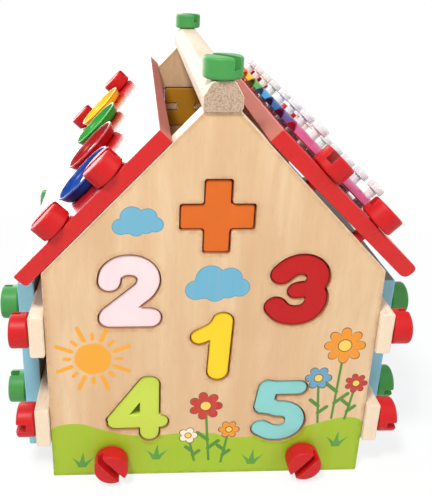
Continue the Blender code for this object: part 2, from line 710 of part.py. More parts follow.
# Side walls, battens and floor
def wall_and_battens(which):
    inner, outer = sorted((which * WALL_INNER, which * WALL_OUTER))
    reach = HALF_DEPTH - WALL_SETBACK
    wall = prism(rounded(box_outline(inner, outer, 0, WALL_HEIGHT), EDGE_RADIUS), ACROSS, -reach, reach)
    holes = []
    for level in BATTEN_CENTRES:
        for place in green_bolt_frames(which, level):
            holes.append(hole_mesh(place, WALL_THICKNESS + CUT_OVERRUN))
    piece(SIDE_NAMES[which] + "_wall", wall, material("grey_blue", "board"), cuts=(join(holes),))

    inner, outer = sorted((which * BATTEN_INNER, which * BATTEN_OUTER))
    reach = HALF_DEPTH + BATTEN_OVERHANG
    for level, centre in BATTEN_CENTRES.items():
        low, high = centre - BATTEN_HEIGHT / 2, centre + BATTEN_HEIGHT / 2
        bar = prism(rounded(box_outline(inner, outer, low, high), EDGE_RADIUS), ACROSS, -reach, reach)
        bolts, slots = [], []
        for place in green_bolt_frames(which, level):
            seated = spot(place, 0, 0, FIT_GAP)
            bolts.append(bolt_mesh(seated, GREEN_SHANK))
            slots.append(slot_mesh(seated, GREEN_BOLT_TURNS[level]))
        holes = [hole_mesh(place, BATTEN_THICKNESS + CUT_OVERRUN)
                 for _, near, _, place in wall_bolt_frames(which) if near == level]
        piece(f"{SIDE_NAMES[which]}_{level}_batten", bar, material("bare", "wood"),
              adds=(join(bolts),), cuts=(join(holes + slots),))


wall_and_battens(-1)
wall_and_battens(1)

floor_half = HALF_DEPTH - GABLE_THICKNESS - FIT_GAP
floor_low = FLOOR_CENTRE - FLOOR_THICKNESS / 2
floor_high = FLOOR_CENTRE + FLOOR_THICKNESS / 2
floor_outline = rounded(box_outline(-HALF_WIDTH, HALF_WIDTH, floor_low, floor_high), EDGE_RADIUS)
floor_holes = []
for end in (-1, 1):
    for _, place in floor_bolt_frames(end):
        floor_holes.append(hole_mesh(place, FLOOR_SHANK + HOLE_END_GAP))
piece("floor_board", prism(floor_outline, ACROSS, -floor_half, floor_half),
      material("varnished", "wood"), cuts=(join(floor_holes),))


# Ridge beam
beam_low = APEX_HEIGHT + FIT_GAP
beam_shoulder = beam_low + BEAM_HEIGHT / 2
beam_top = beam_low + BEAM_HEIGHT
beam_outline = rounded(
    ((-BEAM_WIDTH / 2, beam_low), (BEAM_WIDTH / 2, beam_low), (BEAM_WIDTH / 2, beam_shoulder),
     (BEAM_TOP_WIDTH / 2, beam_top), (-BEAM_TOP_WIDTH / 2, beam_top), (-BEAM_WIDTH / 2, beam_shoulder)),
    BEAM_CORNER_RADIUS)
beam_reach = HALF_DEPTH + BEAM_OVERHANG
beam_holes = [hole_mesh(ridge_bolt_frame(end), BEAM_HEIGHT + CUT_OVERRUN) for end in (-1, 1)]
piece("ridge_beam", prism(beam_outline, ACROSS, -beam_reach, beam_reach),
      material("bare", "wood"), cuts=(join(beam_holes),))


# Roof panels, each with the fixed pins that carry its toys
def key_spots():
    for k, name in enumerate(KEY_COLOURS):
        half = KEY_HALF_LENGTH + KEY_LENGTH_STEP * k
        yield name, (k - (len(KEY_COLOURS) - 1) / 2) * KEY_PITCH, half


KEY_RISE = KEY_CROWN - KEY_EDGE_HEIGHT
KEY_ARC_RADIUS = ((KEY_WIDTH / 2) ** 2 + KEY_RISE ** 2) / (2 * KEY_RISE)
KEY_ARC_CENTRE = KEY_CROWN - KEY_ARC_RADIUS
KEY_INNER_RADIUS = KEY_ARC_RADIUS - KEY_SHEET
KEY_INNER_RISE = math.sqrt(KEY_INNER_RADIUS ** 2 - PIN_COLLAR_RADIUS ** 2)
COLLAR_HEIGHT = KEY_ARC_CENTRE + KEY_INNER_RISE - FIT_GAP


def pin_mesh(frame):
    cap, top = PIN_CAP_RADIUS, PIN_CAP_UNDERSIDE + PIN_CAP_HEIGHT
    profile = (
        (0, -FUSE_DEPTH), (PIN_COLLAR_RADIUS, -FUSE_DEPTH), (PIN_COLLAR_RADIUS, COLLAR_HEIGHT),
        (PIN_RADIUS, COLLAR_HEIGHT), (PIN_RADIUS, PIN_CAP_UNDERSIDE), (cap, PIN_CAP_UNDERSIDE),
        (cap, top - PIN_CAP_HEIGHT * PIN_CAP_TAPER_SHARE), (0, top))
    return lathe(profile, frame, PIN_SEGMENTS)


def post_mesh(frame):
    under = FIT_GAP + DISH_WALL + FIT_GAP
    top = under + POST_CAP_HEIGHT
    cap = POST_CAP_RADIUS
    profile = (
        (0, -FUSE_DEPTH), (POST_RADIUS, -FUSE_DEPTH), (POST_RADIUS, under), (cap, under),
        (cap, top - POST_CAP_HEIGHT * POST_CAP_TAPER_SHARE), (cap * POST_CAP_TOP_SHARE, top), (0, top))
    return lathe(profile, frame, POST_SEGMENTS)


def dish_spots():
    for k, name in enumerate(DISH_COLOURS):
        yield name, (k - (len(DISH_COLOURS) - 1) / 2) * DISH_PITCH


def roof(which):
    frame = roof_frame(which)
    outer, inner = ROOF_EAVE_RADII[which]
    outline = rounded(box_outline(0, ROOF_LENGTH, -ROOF_THICKNESS, 0),
                      (ROOF_RIDGE_RADIUS, inner, outer, ROOF_RIDGE_RADIUS))
    lying = frame @ axes((0, 0, 0), (1, 0, 0), (0, 0, 1), (0, -1, 0))
    panel = prism(outline, lying, -HALF_DEPTH, HALF_DEPTH)
    pins = []
    if which < 0:
        pins = [post_mesh(spot(frame, DISH_PLACE, y)) for _, y in dish_spots()]
    else:
        for _, y, half in key_spots():
            for way in (-1, 1):
                pins.append(pin_mesh(spot(frame, KEY_PLACE + way * half * KEY_PIN_SHARE, y)))
    holes = [hole_mesh(place, ROOF_THICKNESS + CUT_OVERRUN) for _, _, _, place in roof_bolt_frames(which)]
    piece(SIDE_NAMES[which] + "_roof", panel, material("red", "board"),
          adds=(join(pins),), cuts=(join(holes),))


roof(-1)
roof(1)


# Dishes
def dish(name, y):
    place = spot(roof_frame(-1), DISH_PLACE, y, FIT_GAP)
    foot, spread = DISH_FOOT_RADIUS, DISH_RADIUS - DISH_FOOT_RADIUS
    profile = [(DISH_HOLE_RADIUS, 0)]
    for out, lift in DISH_OUTER_SHARES + DISH_INNER_SHARES:
        profile.append((foot + spread * out, DISH_HEIGHT * lift))
    profile += [(foot, DISH_WALL), (DISH_HOLE_RADIUS, DISH_WALL)]
    piece("dish_" + name, lathe(profile, place, DISH_SEGMENTS), material(DISH_COLOURS[name], "dish"),
          origin=place.translation)


for name, y in dish_spots():
    dish(name, y)


# Xylophone keys
def key(name, y, half):
    place = spot(roof_frame(1), KEY_PLACE, y)
    spread = math.asin(KEY_WIDTH / 2 / KEY_ARC_RADIUS)
    arc = []
    for radius, order in ((KEY_ARC_RADIUS, 1), (KEY_ARC_RADIUS - KEY_SHEET, -1)):
        for k in range(ARCH_STEPS + 1):
            angle = order * spread * (2 * k / ARCH_STEPS - 1)
            arc.append((radius * math.sin(angle), KEY_ARC_CENTRE + radius * math.cos(angle)))
    lying = place @ axes((0, 0, 0), (0, 1, 0), (0, 0, 1), (1, 0, 0))
    holes = []
    for way in (-1, 1):
        radius = PIN_RADIUS + PIN_HOLE_GAP
        top = KEY_CROWN + CUT_OVERRUN
        pin_place = spot(place, way * half * KEY_PIN_SHARE, 0)
        holes.append(lathe(((0, 0), (radius, 0), (radius, top), (0, top)), pin_place, HOLE_SEGMENTS))
    piece("xylophone_key_" + name, prism(arc, lying, -half, half), material(KEY_COLOURS[name], "key"),
          cuts=(join(holes),), origin=place.translation)


for name, y, half in key_spots():
    key(name, y, half)

# The bolts that a child can turn
for which in (-1, 1):
    for end_name, level, _, place in roof_bolt_frames(which):
        turn = ROOF_BOLT_TURNS[SIDE_NAMES[which], end_name, level]
        bolt(f"roof_bolt_{SIDE_NAMES[which]}_{end_name}_{level}", place, ROOF_SHANK, "red", turn)
    for end_name, level, _, place in wall_bolt_frames(which):
        bolt(f"wall_bolt_{SIDE_NAMES[which]}_{end_name}_{level}", place, WALL_SHANK, "red",
             WALL_BOLT_TURNS[level])
for end in (-1, 1):
    bolt(f"ridge_bolt_{END_NAMES[end]}", ridge_bolt_frame(end), RIDGE_SHANK, "green", RIDGE_BOLT_TURN)
    for which, place in floor_bolt_frames(end):
        name = f"floor_bolt_{END_NAMES[end]}_{SIDE_NAMES[which * -end]}"
        bolt(name, place, FLOOR_SHANK, "red", which * FLOOR_BOLT_TURN)

bpy.context.view_layer.update()
print(len(bpy.data.objects), "sub-parts")
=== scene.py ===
# %% [markdown]
# # A wooden activity house
# This lesson dresses a toy house that already exists as plain solids. The
# solids say where everything is. Here each visible piece is made again with
# finer shapes, and each gets a material built from nodes.
# The house has two printed gables with number puzzles, two red roof boards,
# a pale ridge beam, four spinning dishes on the left and a xylophone on the
# right, all held by big slotted toy bolts.

# %% Load the plain model
import math

import bmesh
import bpy
from mathutils import Matrix, Vector


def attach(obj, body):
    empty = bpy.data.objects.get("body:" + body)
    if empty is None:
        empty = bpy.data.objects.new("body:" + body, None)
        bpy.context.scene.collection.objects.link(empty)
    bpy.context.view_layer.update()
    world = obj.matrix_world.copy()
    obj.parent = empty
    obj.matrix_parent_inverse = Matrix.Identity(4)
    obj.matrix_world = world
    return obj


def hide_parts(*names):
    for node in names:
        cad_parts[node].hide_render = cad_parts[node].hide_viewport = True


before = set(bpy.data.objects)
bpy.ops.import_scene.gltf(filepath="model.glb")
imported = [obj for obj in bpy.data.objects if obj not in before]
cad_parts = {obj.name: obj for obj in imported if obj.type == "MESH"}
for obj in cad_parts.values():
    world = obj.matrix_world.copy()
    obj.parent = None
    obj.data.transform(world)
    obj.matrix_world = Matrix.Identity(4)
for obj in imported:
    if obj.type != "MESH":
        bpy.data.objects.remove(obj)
for stray in ("Cube", "Light", "Camera"):
    if stray in bpy.data.objects:
        bpy.data.objects.remove(bpy.data.objects[stray], do_unlink=True)
bpy.context.view_layer.update()

# %% [markdown]
# ## Where things are
# The house is symmetric front to back, so a few frames are enough to place
# every piece. A frame is a matrix whose Z axis points out of a surface, so a
# bolt is drawn once standing upright and then carried to its place. The
# alternative, turning each object in the scene, would slide its pattern when
# the model is exported, so the place goes into the mesh itself.

# %% Frames
# The gables: half the way between their faces, half their width, half the
# flat on top, their thickness, and the heights where the slope starts and ends
HALF_DEPTH, HALF_WIDTH, HALF_FLAT = 0.120, 0.093, 0.00925
GABLE, EAVE, APEX = 0.013, 0.1383, 0.226
SLOPE = math.atan2(APEX - EAVE, HALF_WIDTH - HALF_FLAT)
GABLE_MIDDLE = HALF_DEPTH - GABLE / 2
GAP = 0.0003
ENDS = {-1: "front", 1: "back"}
SIDES = {-1: "left", 1: "right"}


def axes(origin, x_way, y_way, z_way):
    turn = Matrix((x_way, y_way, z_way)).transposed().to_4x4()
    return Matrix.Translation(origin) @ turn


def spot(place, x, y, z=0):
    return place @ Matrix.Translation((x, y, z))


def gable_frame(end):
    return axes((0, end * HALF_DEPTH, 0), (-end, 0, 0), (0, 0, 1), (0, end, 0))


def side_frame(side, face):
    return axes((side * face, 0, 0), (0, side, 0), (0, 0, 1), (side, 0, 0))


# The right roof stands off a little more, and tilts up at its eave
ROOF_START, ROOF_THICKNESS = 0.021, 0.009
ROOF_TILT = {-1: 0.0, 1: math.radians(1.9)}
ROOF_LIFT = {-1: 0.0003, 1: 0.0006}


def slanted(side, angle):
    # The ways down a slope and out of it.
    return (Vector((side * math.cos(angle), 0, -math.sin(angle))),
            Vector((side * math.sin(angle), 0, math.cos(angle))))


def roof_frame(side):
    along, out = slanted(side, SLOPE)
    down, up = slanted(side, SLOPE - ROOF_TILT[side])
    start = Vector((side * HALF_FLAT, 0, APEX)) + along * ROOF_START + out * ROOF_LIFT[side]
    return axes(start + up * ROOF_THICKNESS, down, (0, 1, 0), up)


# Stands a flat drawing up: its Y points up and its Z to the front
LYING = axes((0, 0, 0), (1, 0, 0), (0, 0, 1), (0, -1, 0))
print("roof slope", round(math.degrees(SLOPE), 1), "degrees")

# %% [markdown]
# ## The camera
# The camera stands a little left of the middle, above the ridge, and looks
# down at the front gable. Its place was found by matching known corners of
# the house with the picture. The picture is a crop of a larger one, so its
# middle isn't where the lens looks, and the camera's shift makes up for it.

# %% Camera
WIDE, TALL = 432, 496
FOCAL, SENSOR = 623.541, 36
LENS_X, LENS_Y = 163.2498, 192.6630
CAMERA_PLACE = (-0.0412108, -0.4160834, 0.2965837)
yaw, pitch, roll = (math.radians(v) for v in (-2.46269, -20.76165, 0.72493))
ahead = Vector((-math.sin(yaw) * math.cos(pitch), math.cos(yaw) * math.cos(pitch), math.sin(pitch)))
level = Vector((math.cos(yaw), math.sin(yaw), 0))
upright = level.cross(ahead)
right = level * math.cos(roll) + upright * math.sin(roll)
up = -level * math.sin(roll) + upright * math.cos(roll)

lens = bpy.data.cameras.new("camera")
lens.sensor_width = SENSOR
lens.sensor_fit = "AUTO"
lens.lens = FOCAL * SENSOR / TALL
lens.shift_x = (WIDE / 2 - LENS_X) / TALL
lens.shift_y = (LENS_Y - TALL / 2) / TALL
lens.clip_start = 0.01
camera = bpy.data.objects.new("camera", lens)
camera.matrix_world = axes(CAMERA_PLACE, right, up, -ahead)
bpy.context.scene.collection.objects.link(camera)
bpy.context.scene.camera = camera
print("lens", round(lens.lens, 2), "shift", round(lens.shift_x, 4), round(lens.shift_y, 4))

# %% [markdown]
# ## A small calculator for nodes
# Patterns are sums, and sums are long to wire by hand. This class wraps one
# socket of a node tree. Adding or multiplying two of them places the Math
# node and its links, so a pattern reads like school algebra. It serves
# shader trees and geometry trees alike, because both know the Math node.
# The functions beside it place a node and fill its inputs with numbers, links
# or plain values. A socket knows its tree, so the tree needn't be named again.

# %% Calculator
def wire(value, socket):
    # Links a number or a socket, or sets a plain value.
    if isinstance(value, Number):
        value = value.socket
    if isinstance(value, bpy.types.NodeSocket):
        socket.id_data.links.new(value, socket)
    else:
        socket.default_value = value


def place_node(tree, kind, values=None, **settings):
    node = tree.nodes.new(kind)
    for label, value in settings.items():
        setattr(node, label, value)
    for label, value in (values or {}).items():
        wire(value, node.inputs[label])
    return node


class Number:
    def __init__(self, socket):
        self.socket = socket

    def work(self, operation, *others, first=None):
        values = (self, *others) if first is None else (first, self, *others)
        node = place_node(self.socket.id_data, "ShaderNodeMath", dict(enumerate(values)), operation=operation)
        return Number(node.outputs[0])

    def __add__(self, other): return self.work("ADD", other)
    def __sub__(self, other): return self.work("SUBTRACT", other)
    def __mul__(self, other): return self.work("MULTIPLY", other)
    def __truediv__(self, other): return self.work("DIVIDE", other)
    def __rsub__(self, other): return self.work("SUBTRACT", first=other)
    def __neg__(self): return self.work("MULTIPLY", -1.0)
    def min(self, other): return self.work("MINIMUM", other)
    def max(self, other): return self.work("MAXIMUM", other)
    def size(self): return self.work("ABSOLUTE")
    __radd__, __rmul__ = __add__, __mul__

    def clamped(self):
        self.socket.node.use_clamp = True
        return self


print("calculator ready")

# %% [markdown]
# ## Wood grain as a shared group
# Wood is made of long fibres, so its pattern is stretched along one way. Three
# noises do it: broad soft figure, medium streaks and fine dark pores. A
# picture of wood would need an image and would stretch on edges, while this
# one runs through the whole solid like real grain. The material first scales
# the coordinates, small along the grain, so one group serves all boards.

# %% Wood grain group
def new_tree(name, kind, inputs, outputs):
    # A node group with named sockets. Returns it with its input and output nodes.
    tree = bpy.data.node_groups.new(name, kind + "NodeTree")
    for way, sockets in (("INPUT", inputs), ("OUTPUT", outputs)):
        for label, value in sockets.items():
            form = {float: "Float", int: "Int", tuple: "Color", list: "Vector"}.get(type(value), value)
            made = tree.interface.new_socket(name=label, in_out=way, socket_type="NodeSocket" + form)
            if isinstance(value, (float, int, tuple, list)):
                made.default_value = value
    return tree, tree.nodes.new("NodeGroupInput"), tree.nodes.new("NodeGroupOutput")


def give(out, **values):
    # Wires what a group gives back.
    for label, value in values.items():
        wire(value, out.inputs[label])


def stretch(value, low, high):
    # Spreads low..high over 0..1.
    return ((value - low) / (high - low)).clamped()


def noise(vector, scale, detail, rough, warp=0.0):
    return Number(place_node(vector.id_data, "ShaderNodeTexNoise", {
        "Vector": vector, "Scale": scale, "Detail": detail, "Roughness": rough,
        "Distortion": warp}).outputs["Fac"])


def pattern(vector, scale, detail, rough, warp, low, high):
    # A noise whose values low..high are spread over 0..1.
    return stretch(noise(vector, scale, detail, rough, warp), low, high)


NO_PLACE = [0.0, 0.0, 0.0]
# Scale, detail, roughness and warp of each noise, then its low and high values
GRAIN = {"Figure": (38, 2.0, 0.45, 0.6, 0.34, 0.66), "Streaks": (260, 3.0, 0.6, 0.2, 0.30, 0.70),
         "Pores": (1500, 2.0, 0.6, 0.0, 0.60, 0.74)}
grain_tree, grain_in, grain_out = new_tree(
    "Wood grain", "Shader", {"Vector": NO_PLACE}, dict.fromkeys((*GRAIN, "Height"), 0.0))
marks = {label: pattern(grain_in.outputs["Vector"], *values) for label, values in GRAIN.items()}
give(grain_out, Height=marks["Streaks"] * 0.5 - marks["Pores"] * 0.8, **marks)
print("grain group", len(grain_tree.nodes), "nodes")

# %% [markdown]
# ## Edges and handling as shared groups
# Children's toys lose paint on their edges first. The Bevel node gives the
# normal that a rounded edge would have, and where it differs from the real
# normal there is an edge. A noise breaks the line up, so it looks handled.
# The same edge mask also places a painted shade along the plywood's edges and
# a painted highlight on the dishes' rims.
# Handling also leaves a faint unevenness in gloss and colour, which the
# second group makes from two noises.

# %% Edge mask and handling groups
def numbers(node, *labels):
    return [Number(node.outputs[label]) for label in labels]


edge_tree, edge_in, edge_out = new_tree(
    "Edge mask", "Shader", {"Vector": NO_PLACE, "Width": 0.0005, "Amount": 0.5}, {"Mask": 0.0})
rounded = place_node(edge_tree, "ShaderNodeBevel", {"Radius": edge_in.outputs["Width"]}, samples=4)
shape = place_node(edge_tree, "ShaderNodeNewGeometry")
likeness = place_node(edge_tree, "ShaderNodeVectorMath",
                      {0: rounded.outputs["Normal"], 1: shape.outputs["Normal"]}, operation="DOT_PRODUCT")
edge = ((1 - Number(likeness.outputs["Value"])) * 9).clamped()
broken = pattern(edge_in.outputs["Vector"], 210, 4.0, 0.7, 0.0, 0.35, 0.6)
give(edge_out, Mask=edge * broken * Number(edge_in.outputs["Amount"]))

handling_tree, handling_in, handling_out = new_tree(
    "Handling", "Shader", {"Vector": NO_PLACE, "Base": 0.3, "Spread": 0.1},
    {"Roughness": 0.0, "Height": 0.0, "Shade": 0.0})
where = handling_in.outputs["Vector"]
base, spread = numbers(handling_in, "Base", "Spread")
smudge = pattern(where, 55, 4.0, 0.6, 0.4, 0.3, 0.7)
give(handling_out, Roughness=base + spread * (smudge - 0.5), Shade=smudge,
     Height=noise(where, 900, 2.0, 0.5))
print("wear groups ready")

# %% [markdown]
# ## Motifs of the print
# The gables carry a printed meadow under a summer sky. Each motif is a small
# group that measures how deep a point lies inside the shape. A capsule is a
# thick line with round ends, and it makes stems and leaves. A daisy is a
# circle whose edge waves with the angle. A cloud is the union of seven
# circles. A tuft is three curved wedges. Drawing them as sums keeps their
# edges sharp from any distance.

# %% Motif groups
def length(x, y):
    # Distance from zero of two numbers.
    return (x * x + y * y).work("SQRT")


def inside(depth, blur=0.00012):
    # 1 where depth is positive, 0 where negative, with a thin soft step.
    return (depth / blur + 0.5).clamped()


def motif_tree(name, outputs, **inputs):
    # A group that knows the place across and up, and its own inputs, as numbers.
    inputs = {"X": 0.0, "Z": 0.0, **{label.replace("_", " "): value for label, value in inputs.items()}}
    tree, given, out = new_tree(name, "Shader", inputs, outputs)
    return (tree, out, *numbers(given, *inputs))


def union(depths):
    depths = list(depths)
    whole = depths[0]
    for depth in depths[1:]:
        whole = whole.max(depth)
    return whole


capsule_tree, out, x, z, ax, az, bx, bz, thick = motif_tree(
    "Capsule", {"Depth": 0.0}, From_X=0.0, From_Z=0.0, To_X=0.0, To_Z=0.0, Thick=0.001)
run_x, run_z = bx - ax, bz - az
share = (((x - ax) * run_x + (z - az) * run_z) / (run_x * run_x + run_z * run_z)).clamped()
give(out, Depth=thick - length(x - ax - run_x * share, z - az - run_z * share))

daisy_tree, out, x, z, cx, cz, radius, petals = motif_tree(
    "Daisy", {"Petal": 0.0, "Heart": 0.0, "Rim": 0.0}, Centre_X=0.0, Centre_Z=0.0, Radius=0.01, Petals=6.0)
dx, dz = x - cx, z - cz
reach = length(dx, dz)
wave = (dz.work("ARCTAN2", dx) * petals * 0.5).work("COSINE").size()
PETAL_POWER, PETAL_SWING, HEART_SHARE = 0.6, 0.42, 0.33
LEAF_LINE, HEART_LINE = 0.00028, 0.00025
leaf = radius * (wave.work("POWER", PETAL_POWER) * PETAL_SWING + (1 - PETAL_SWING)) - reach
heart = radius * HEART_SHARE - reach
give(out, Petal=inside(leaf), Heart=inside(heart),
     Rim=inside(LEAF_LINE - leaf.size()).max(inside(HEART_LINE - heart.size())))

# Place across, place up and radius of each lobe, as shares of the cloud's width
CLOUD_LOBES = ((-0.325, -0.115, 0.172), (-0.11, 0.070, 0.235), (0.19, 0.075, 0.190), (0.340, -0.075, 0.160),
               (-0.03, -0.150, 0.170), (0.16, -0.080, 0.185), (-0.20, -0.080, 0.190))
cloud_tree, out, x, z, cx, cz, width = motif_tree(
    "Cloud", {"Depth": 0.0}, Centre_X=0.0, Centre_Z=0.0, Width=0.03)
u, v = (x - cx) / width, (z - cz) / width
give(out, Depth=union(lobe - length(u - lx, v - lz) for lx, lz, lobe in CLOUD_LOBES) * width)

# Lean, bend, height and half width of each blade
BLADES = ((0.05, 3.0, 0.0118, 0.0024), (-0.55, -34.0, 0.0078, 0.0023), (0.70, 38.0, 0.0078, 0.0023))
tuft_tree, out, x, z, cx, foot = motif_tree("Grass tuft", {"Depth": 0.0}, Centre_X=0.0, Foot_Z=0.0)
dx, dz = x - cx, z - foot
give(out, Depth=union(
    (wide * (1 - dz / tall) - (dx - (dz * lean + dz * dz * bend)).size()).min(dz)
    for lean, bend, tall, wide in BLADES))
print("motifs", [t.name for t in (capsule_tree, daisy_tree, cloud_tree, tuft_tree)])

# %% [markdown]
# ## The whole print
# One group lays the motifs out and gives a colour and a mask, so each gable's
# material only has to mix it over the wood. The rolling edge of the meadow is
# a curve that gives a height for each place across. The sun's rays come from
# the angle round its middle: the angle is rounded to the nearest sixteenth,
# and every other ray is longer. A wavy edge makes the sun look hand-drawn.

# %% Print group
def position(source):
    return numbers(place_node(source.id_data, "ShaderNodeSeparateXYZ", {0: source}), "X", "Y", "Z")


def place_tree(host, tree, **values):
    # Puts a shader group into a tree and fills in its inputs by name.
    values = {label.replace("_", " "): value for label, value in values.items()}
    return place_node(host, "ShaderNodeGroup", values, node_tree=tree)


print_tree, print_in, print_out = new_tree(
    "Meadow print", "Shader", {"Vector": NO_PLACE}, {"Colour": (1.0, 1.0, 1.0, 1.0), "Mask": 0.0})
across, back, above = position(print_in.outputs["Vector"])

# Place across and height of the meadow's edge
HILL_TOPS = ((-0.0929, 0.0349), (-0.0804, 0.0390), (-0.0624, 0.0342), (-0.0464, 0.0301), (-0.0334, 0.0294),
             (-0.0155, 0.0309), (0.0019, 0.0305), (0.0141, 0.0272), (0.0273, 0.0277), (0.0606, 0.0352),
             (0.0724, 0.0387), (0.0830, 0.0407), (0.0932, 0.0367))
HILL_SPAN, HILL_RISE = 0.19, 0.05
hill = place_node(print_tree, "ShaderNodeFloatCurve", {"Value": across / HILL_SPAN + 0.5})
line = hill.mapping.curves[0]
while len(line.points) < len(HILL_TOPS):
    line.points.new(0.5, 0.5)
for point, (place, top) in zip(line.points, HILL_TOPS):
    point.location = (place / HILL_SPAN + 0.5, top / HILL_RISE)
hill.mapping.update()
meadow = inside(Number(hill.outputs["Value"]) * HILL_RISE - above)


def motif(tree, **values):
    return place_tree(print_tree, tree, X=across, Z=above, **values)


def depth_in(tree, **values):
    return Number(motif(tree, **values).outputs["Depth"])


SUN_X, SUN_Z, SUN_RADIUS, RAYS = -0.0669, 0.0842, 0.0103, 16
RAY_START, RAY_END, RAY_THICK = 0.0131, 0.0162, 0.00105
LONGER, THICKER, WOBBLE = 0.0056, 0.0002, 0.00022
sun_x, sun_z = across - SUN_X, above - SUN_Z
sun_out = length(sun_x, sun_z)
sun_turn = sun_z.work("ARCTAN2", sun_x) / (math.tau / RAYS)
ray = (sun_turn + 100.5).work("FLOOR") - 100
long_ray = ray.size().work("MODULO", 2.0)
off_ray = (sun_turn - ray) * (math.tau / RAYS)
ray_along = sun_out * off_ray.work("COSINE")
ray_gap = ray_along - ray_along.max(RAY_START).min(long_ray * LONGER + RAY_END)
rays = long_ray * THICKER + RAY_THICK - length(sun_out * off_ray.work("SINE"), ray_gap)
sun = inside((SUN_RADIUS + (sun_turn * 2.4).work("SINE") * WOBBLE - sun_out).max(rays))
print("print group holds", len(print_tree.nodes), "nodes so far")

# %% [markdown]
# ## Laying out the sky and the flowers
# The order of the inks is the order of printing: sky first, then the meadow,
# then tufts, stems and blossoms on top. Each flower is a stem of one capsule,
# two leaves of two shorter ones and a daisy with a darker outline. Their
# sizes and colours differ, because a hand-drawn meadow has no two alike. The
# ink lies on the gable's face alone, so the mask ends just under it.

# %% Layout of the print
def paint(red, green, blue):
    # A colour given in the 0 to 255 of a picture, as the linear light nodes use.
    def linear(value):
        value /= 255
        return value / 12.92 if value <= 0.04045 else ((value + 0.055) / 1.055) ** 2.4
    return (linear(red), linear(green), linear(blue), 1.0)


def blend_colour(share, below, above, mode="MIX"):
    # Input 0 of the Mix node is the share, 6 and 7 are its colours.
    return place_node(share.socket.id_data, "ShaderNodeMix", {0: share, 6: below, 7: above},
                      data_type="RGBA", blend_type=mode).outputs[2]


INK = {
    "sun": paint(241, 164, 36), "cloud": paint(92, 174, 205), "cloud rim": paint(66, 148, 182),
    "meadow": paint(156, 190, 20), "tuft": paint(66, 152, 54), "stem": paint(56, 134, 44),
    "outline": paint(80, 48, 30), "red": paint(194, 26, 32), "blue": paint(84, 158, 196),
    "orange": paint(238, 146, 26), "heart": paint(250, 206, 90), "cream": paint(250, 234, 208),
}
CLOUDS = ((-0.0415, 0.1685, 0.0272), (0.0016, 0.1318, 0.0356))
CLOUD_LINE = 0.0005
TUFTS = ((-0.0755, 0.0062), (-0.0309, 0.0112), (0.0272, 0.0062), (0.0782, 0.0186))
# Place across, place up, foot across, foot up, radius, petals, ink
FLOWERS = (
    (-0.0020, 0.0505, 0.0010, 0.0105, 0.0098, 7.0, "red"),
    (0.0125, 0.0330, 0.0085, 0.0085, 0.0062, 6.0, "orange"),
    (-0.0118, 0.0290, -0.0078, 0.0100, 0.0058, 5.0, "cream"),
    (0.0760, 0.0910, 0.0735, 0.0400, 0.0118, 8.0, "orange"),
    (0.0630, 0.0690, 0.0655, 0.0372, 0.0078, 6.0, "blue"),
    (0.0855, 0.0650, 0.0815, 0.0395, 0.0066, 7.0, "red"),
)
STEM_THICK, LEAF_THICK = 0.00075, 0.0012
LEAF_ROOTS = ((-1, 0.62), (1, 0.78))
LEAF_OUT, LEAF_UP = 0.62, 0.55

layers = [(sun, "sun")]
for cloud_x, cloud_z, cloud_width in CLOUDS:
    cloud = depth_in(cloud_tree, Centre_X=cloud_x, Centre_Z=cloud_z, Width=cloud_width)
    layers += [(inside(cloud), "cloud rim"), (inside(cloud - CLOUD_LINE), "cloud")]
layers.append((meadow, "meadow"))
for tuft_x, tuft_z in TUFTS:
    layers.append((inside(depth_in(tuft_tree, Centre_X=tuft_x, Foot_Z=tuft_z)), "tuft"))
for flower_x, flower_z, foot_x, foot_z, radius, petals, ink in FLOWERS:
    stem = depth_in(capsule_tree, From_X=flower_x, From_Z=flower_z, To_X=foot_x, To_Z=foot_z,
                    Thick=STEM_THICK)
    for way, share in LEAF_ROOTS:
        root_x, root_z = flower_x + (foot_x - flower_x) * share, flower_z + (foot_z - flower_z) * share
        stem = stem.max(depth_in(capsule_tree, From_X=root_x, From_Z=root_z, Thick=LEAF_THICK,
                                 To_X=root_x + way * radius * LEAF_OUT, To_Z=root_z + radius * LEAF_UP))
    bloom = motif(daisy_tree, Centre_X=flower_x, Centre_Z=flower_z, Radius=radius, Petals=petals)
    petal, centre, rim = numbers(bloom, "Petal", "Heart", "Rim")
    layers += [(inside(stem), "stem"), (petal, ink), (centre, "heart"), (rim, "outline")]

colour, total = INK["sun"], sun
for mask, ink in layers:
    colour = blend_colour(mask, colour, INK[ink])
    total = total.max(mask)
INK_DEPTH, INK_FADE = 0.0003, 0.0001
on_face = (-(back + (HALF_DEPTH - INK_DEPTH)) / INK_FADE).clamped()
give(print_out, Colour=colour, Mask=total * on_face)
print("print group holds", len(print_tree.nodes), "nodes in", len(layers), "layers")

# %% [markdown]
# ## Finishing a mesh
# Every piece ends the same way. A curve, a node tree or a live modifier is
# turned into a plain mesh, carried to its place, its doubles merged and its
# faces turned outwards. Close angles are shaded smooth, and the Weighted
# Normal modifier keeps big flats flat beside small rounded edges. Last, the
# piece is told which body it moves with, and the plain solid it stands for is
# hidden.

# %% Finishing helpers
def show(name, mesh):
    made = bpy.data.objects.new(name, mesh)
    bpy.context.scene.collection.objects.link(made)
    return made


def plain(made, place=None):
    graph = bpy.context.evaluated_depsgraph_get()
    mesh = bpy.data.meshes.new_from_object(made.evaluated_get(graph))
    bpy.data.objects.remove(made, do_unlink=True)
    if place is not None:
        mesh.transform(place)
    return mesh


def close_up(mesh, weld=0.000002, flat=0):
    work = bmesh.new()
    work.from_mesh(mesh)
    bmesh.ops.remove_doubles(work, verts=work.verts, dist=weld)
    if flat:
        bmesh.ops.dissolve_limit(work, angle_limit=flat, verts=work.verts, edges=work.edges)
    bmesh.ops.recalc_face_normals(work, faces=work.faces)
    work.to_mesh(mesh)
    work.free()


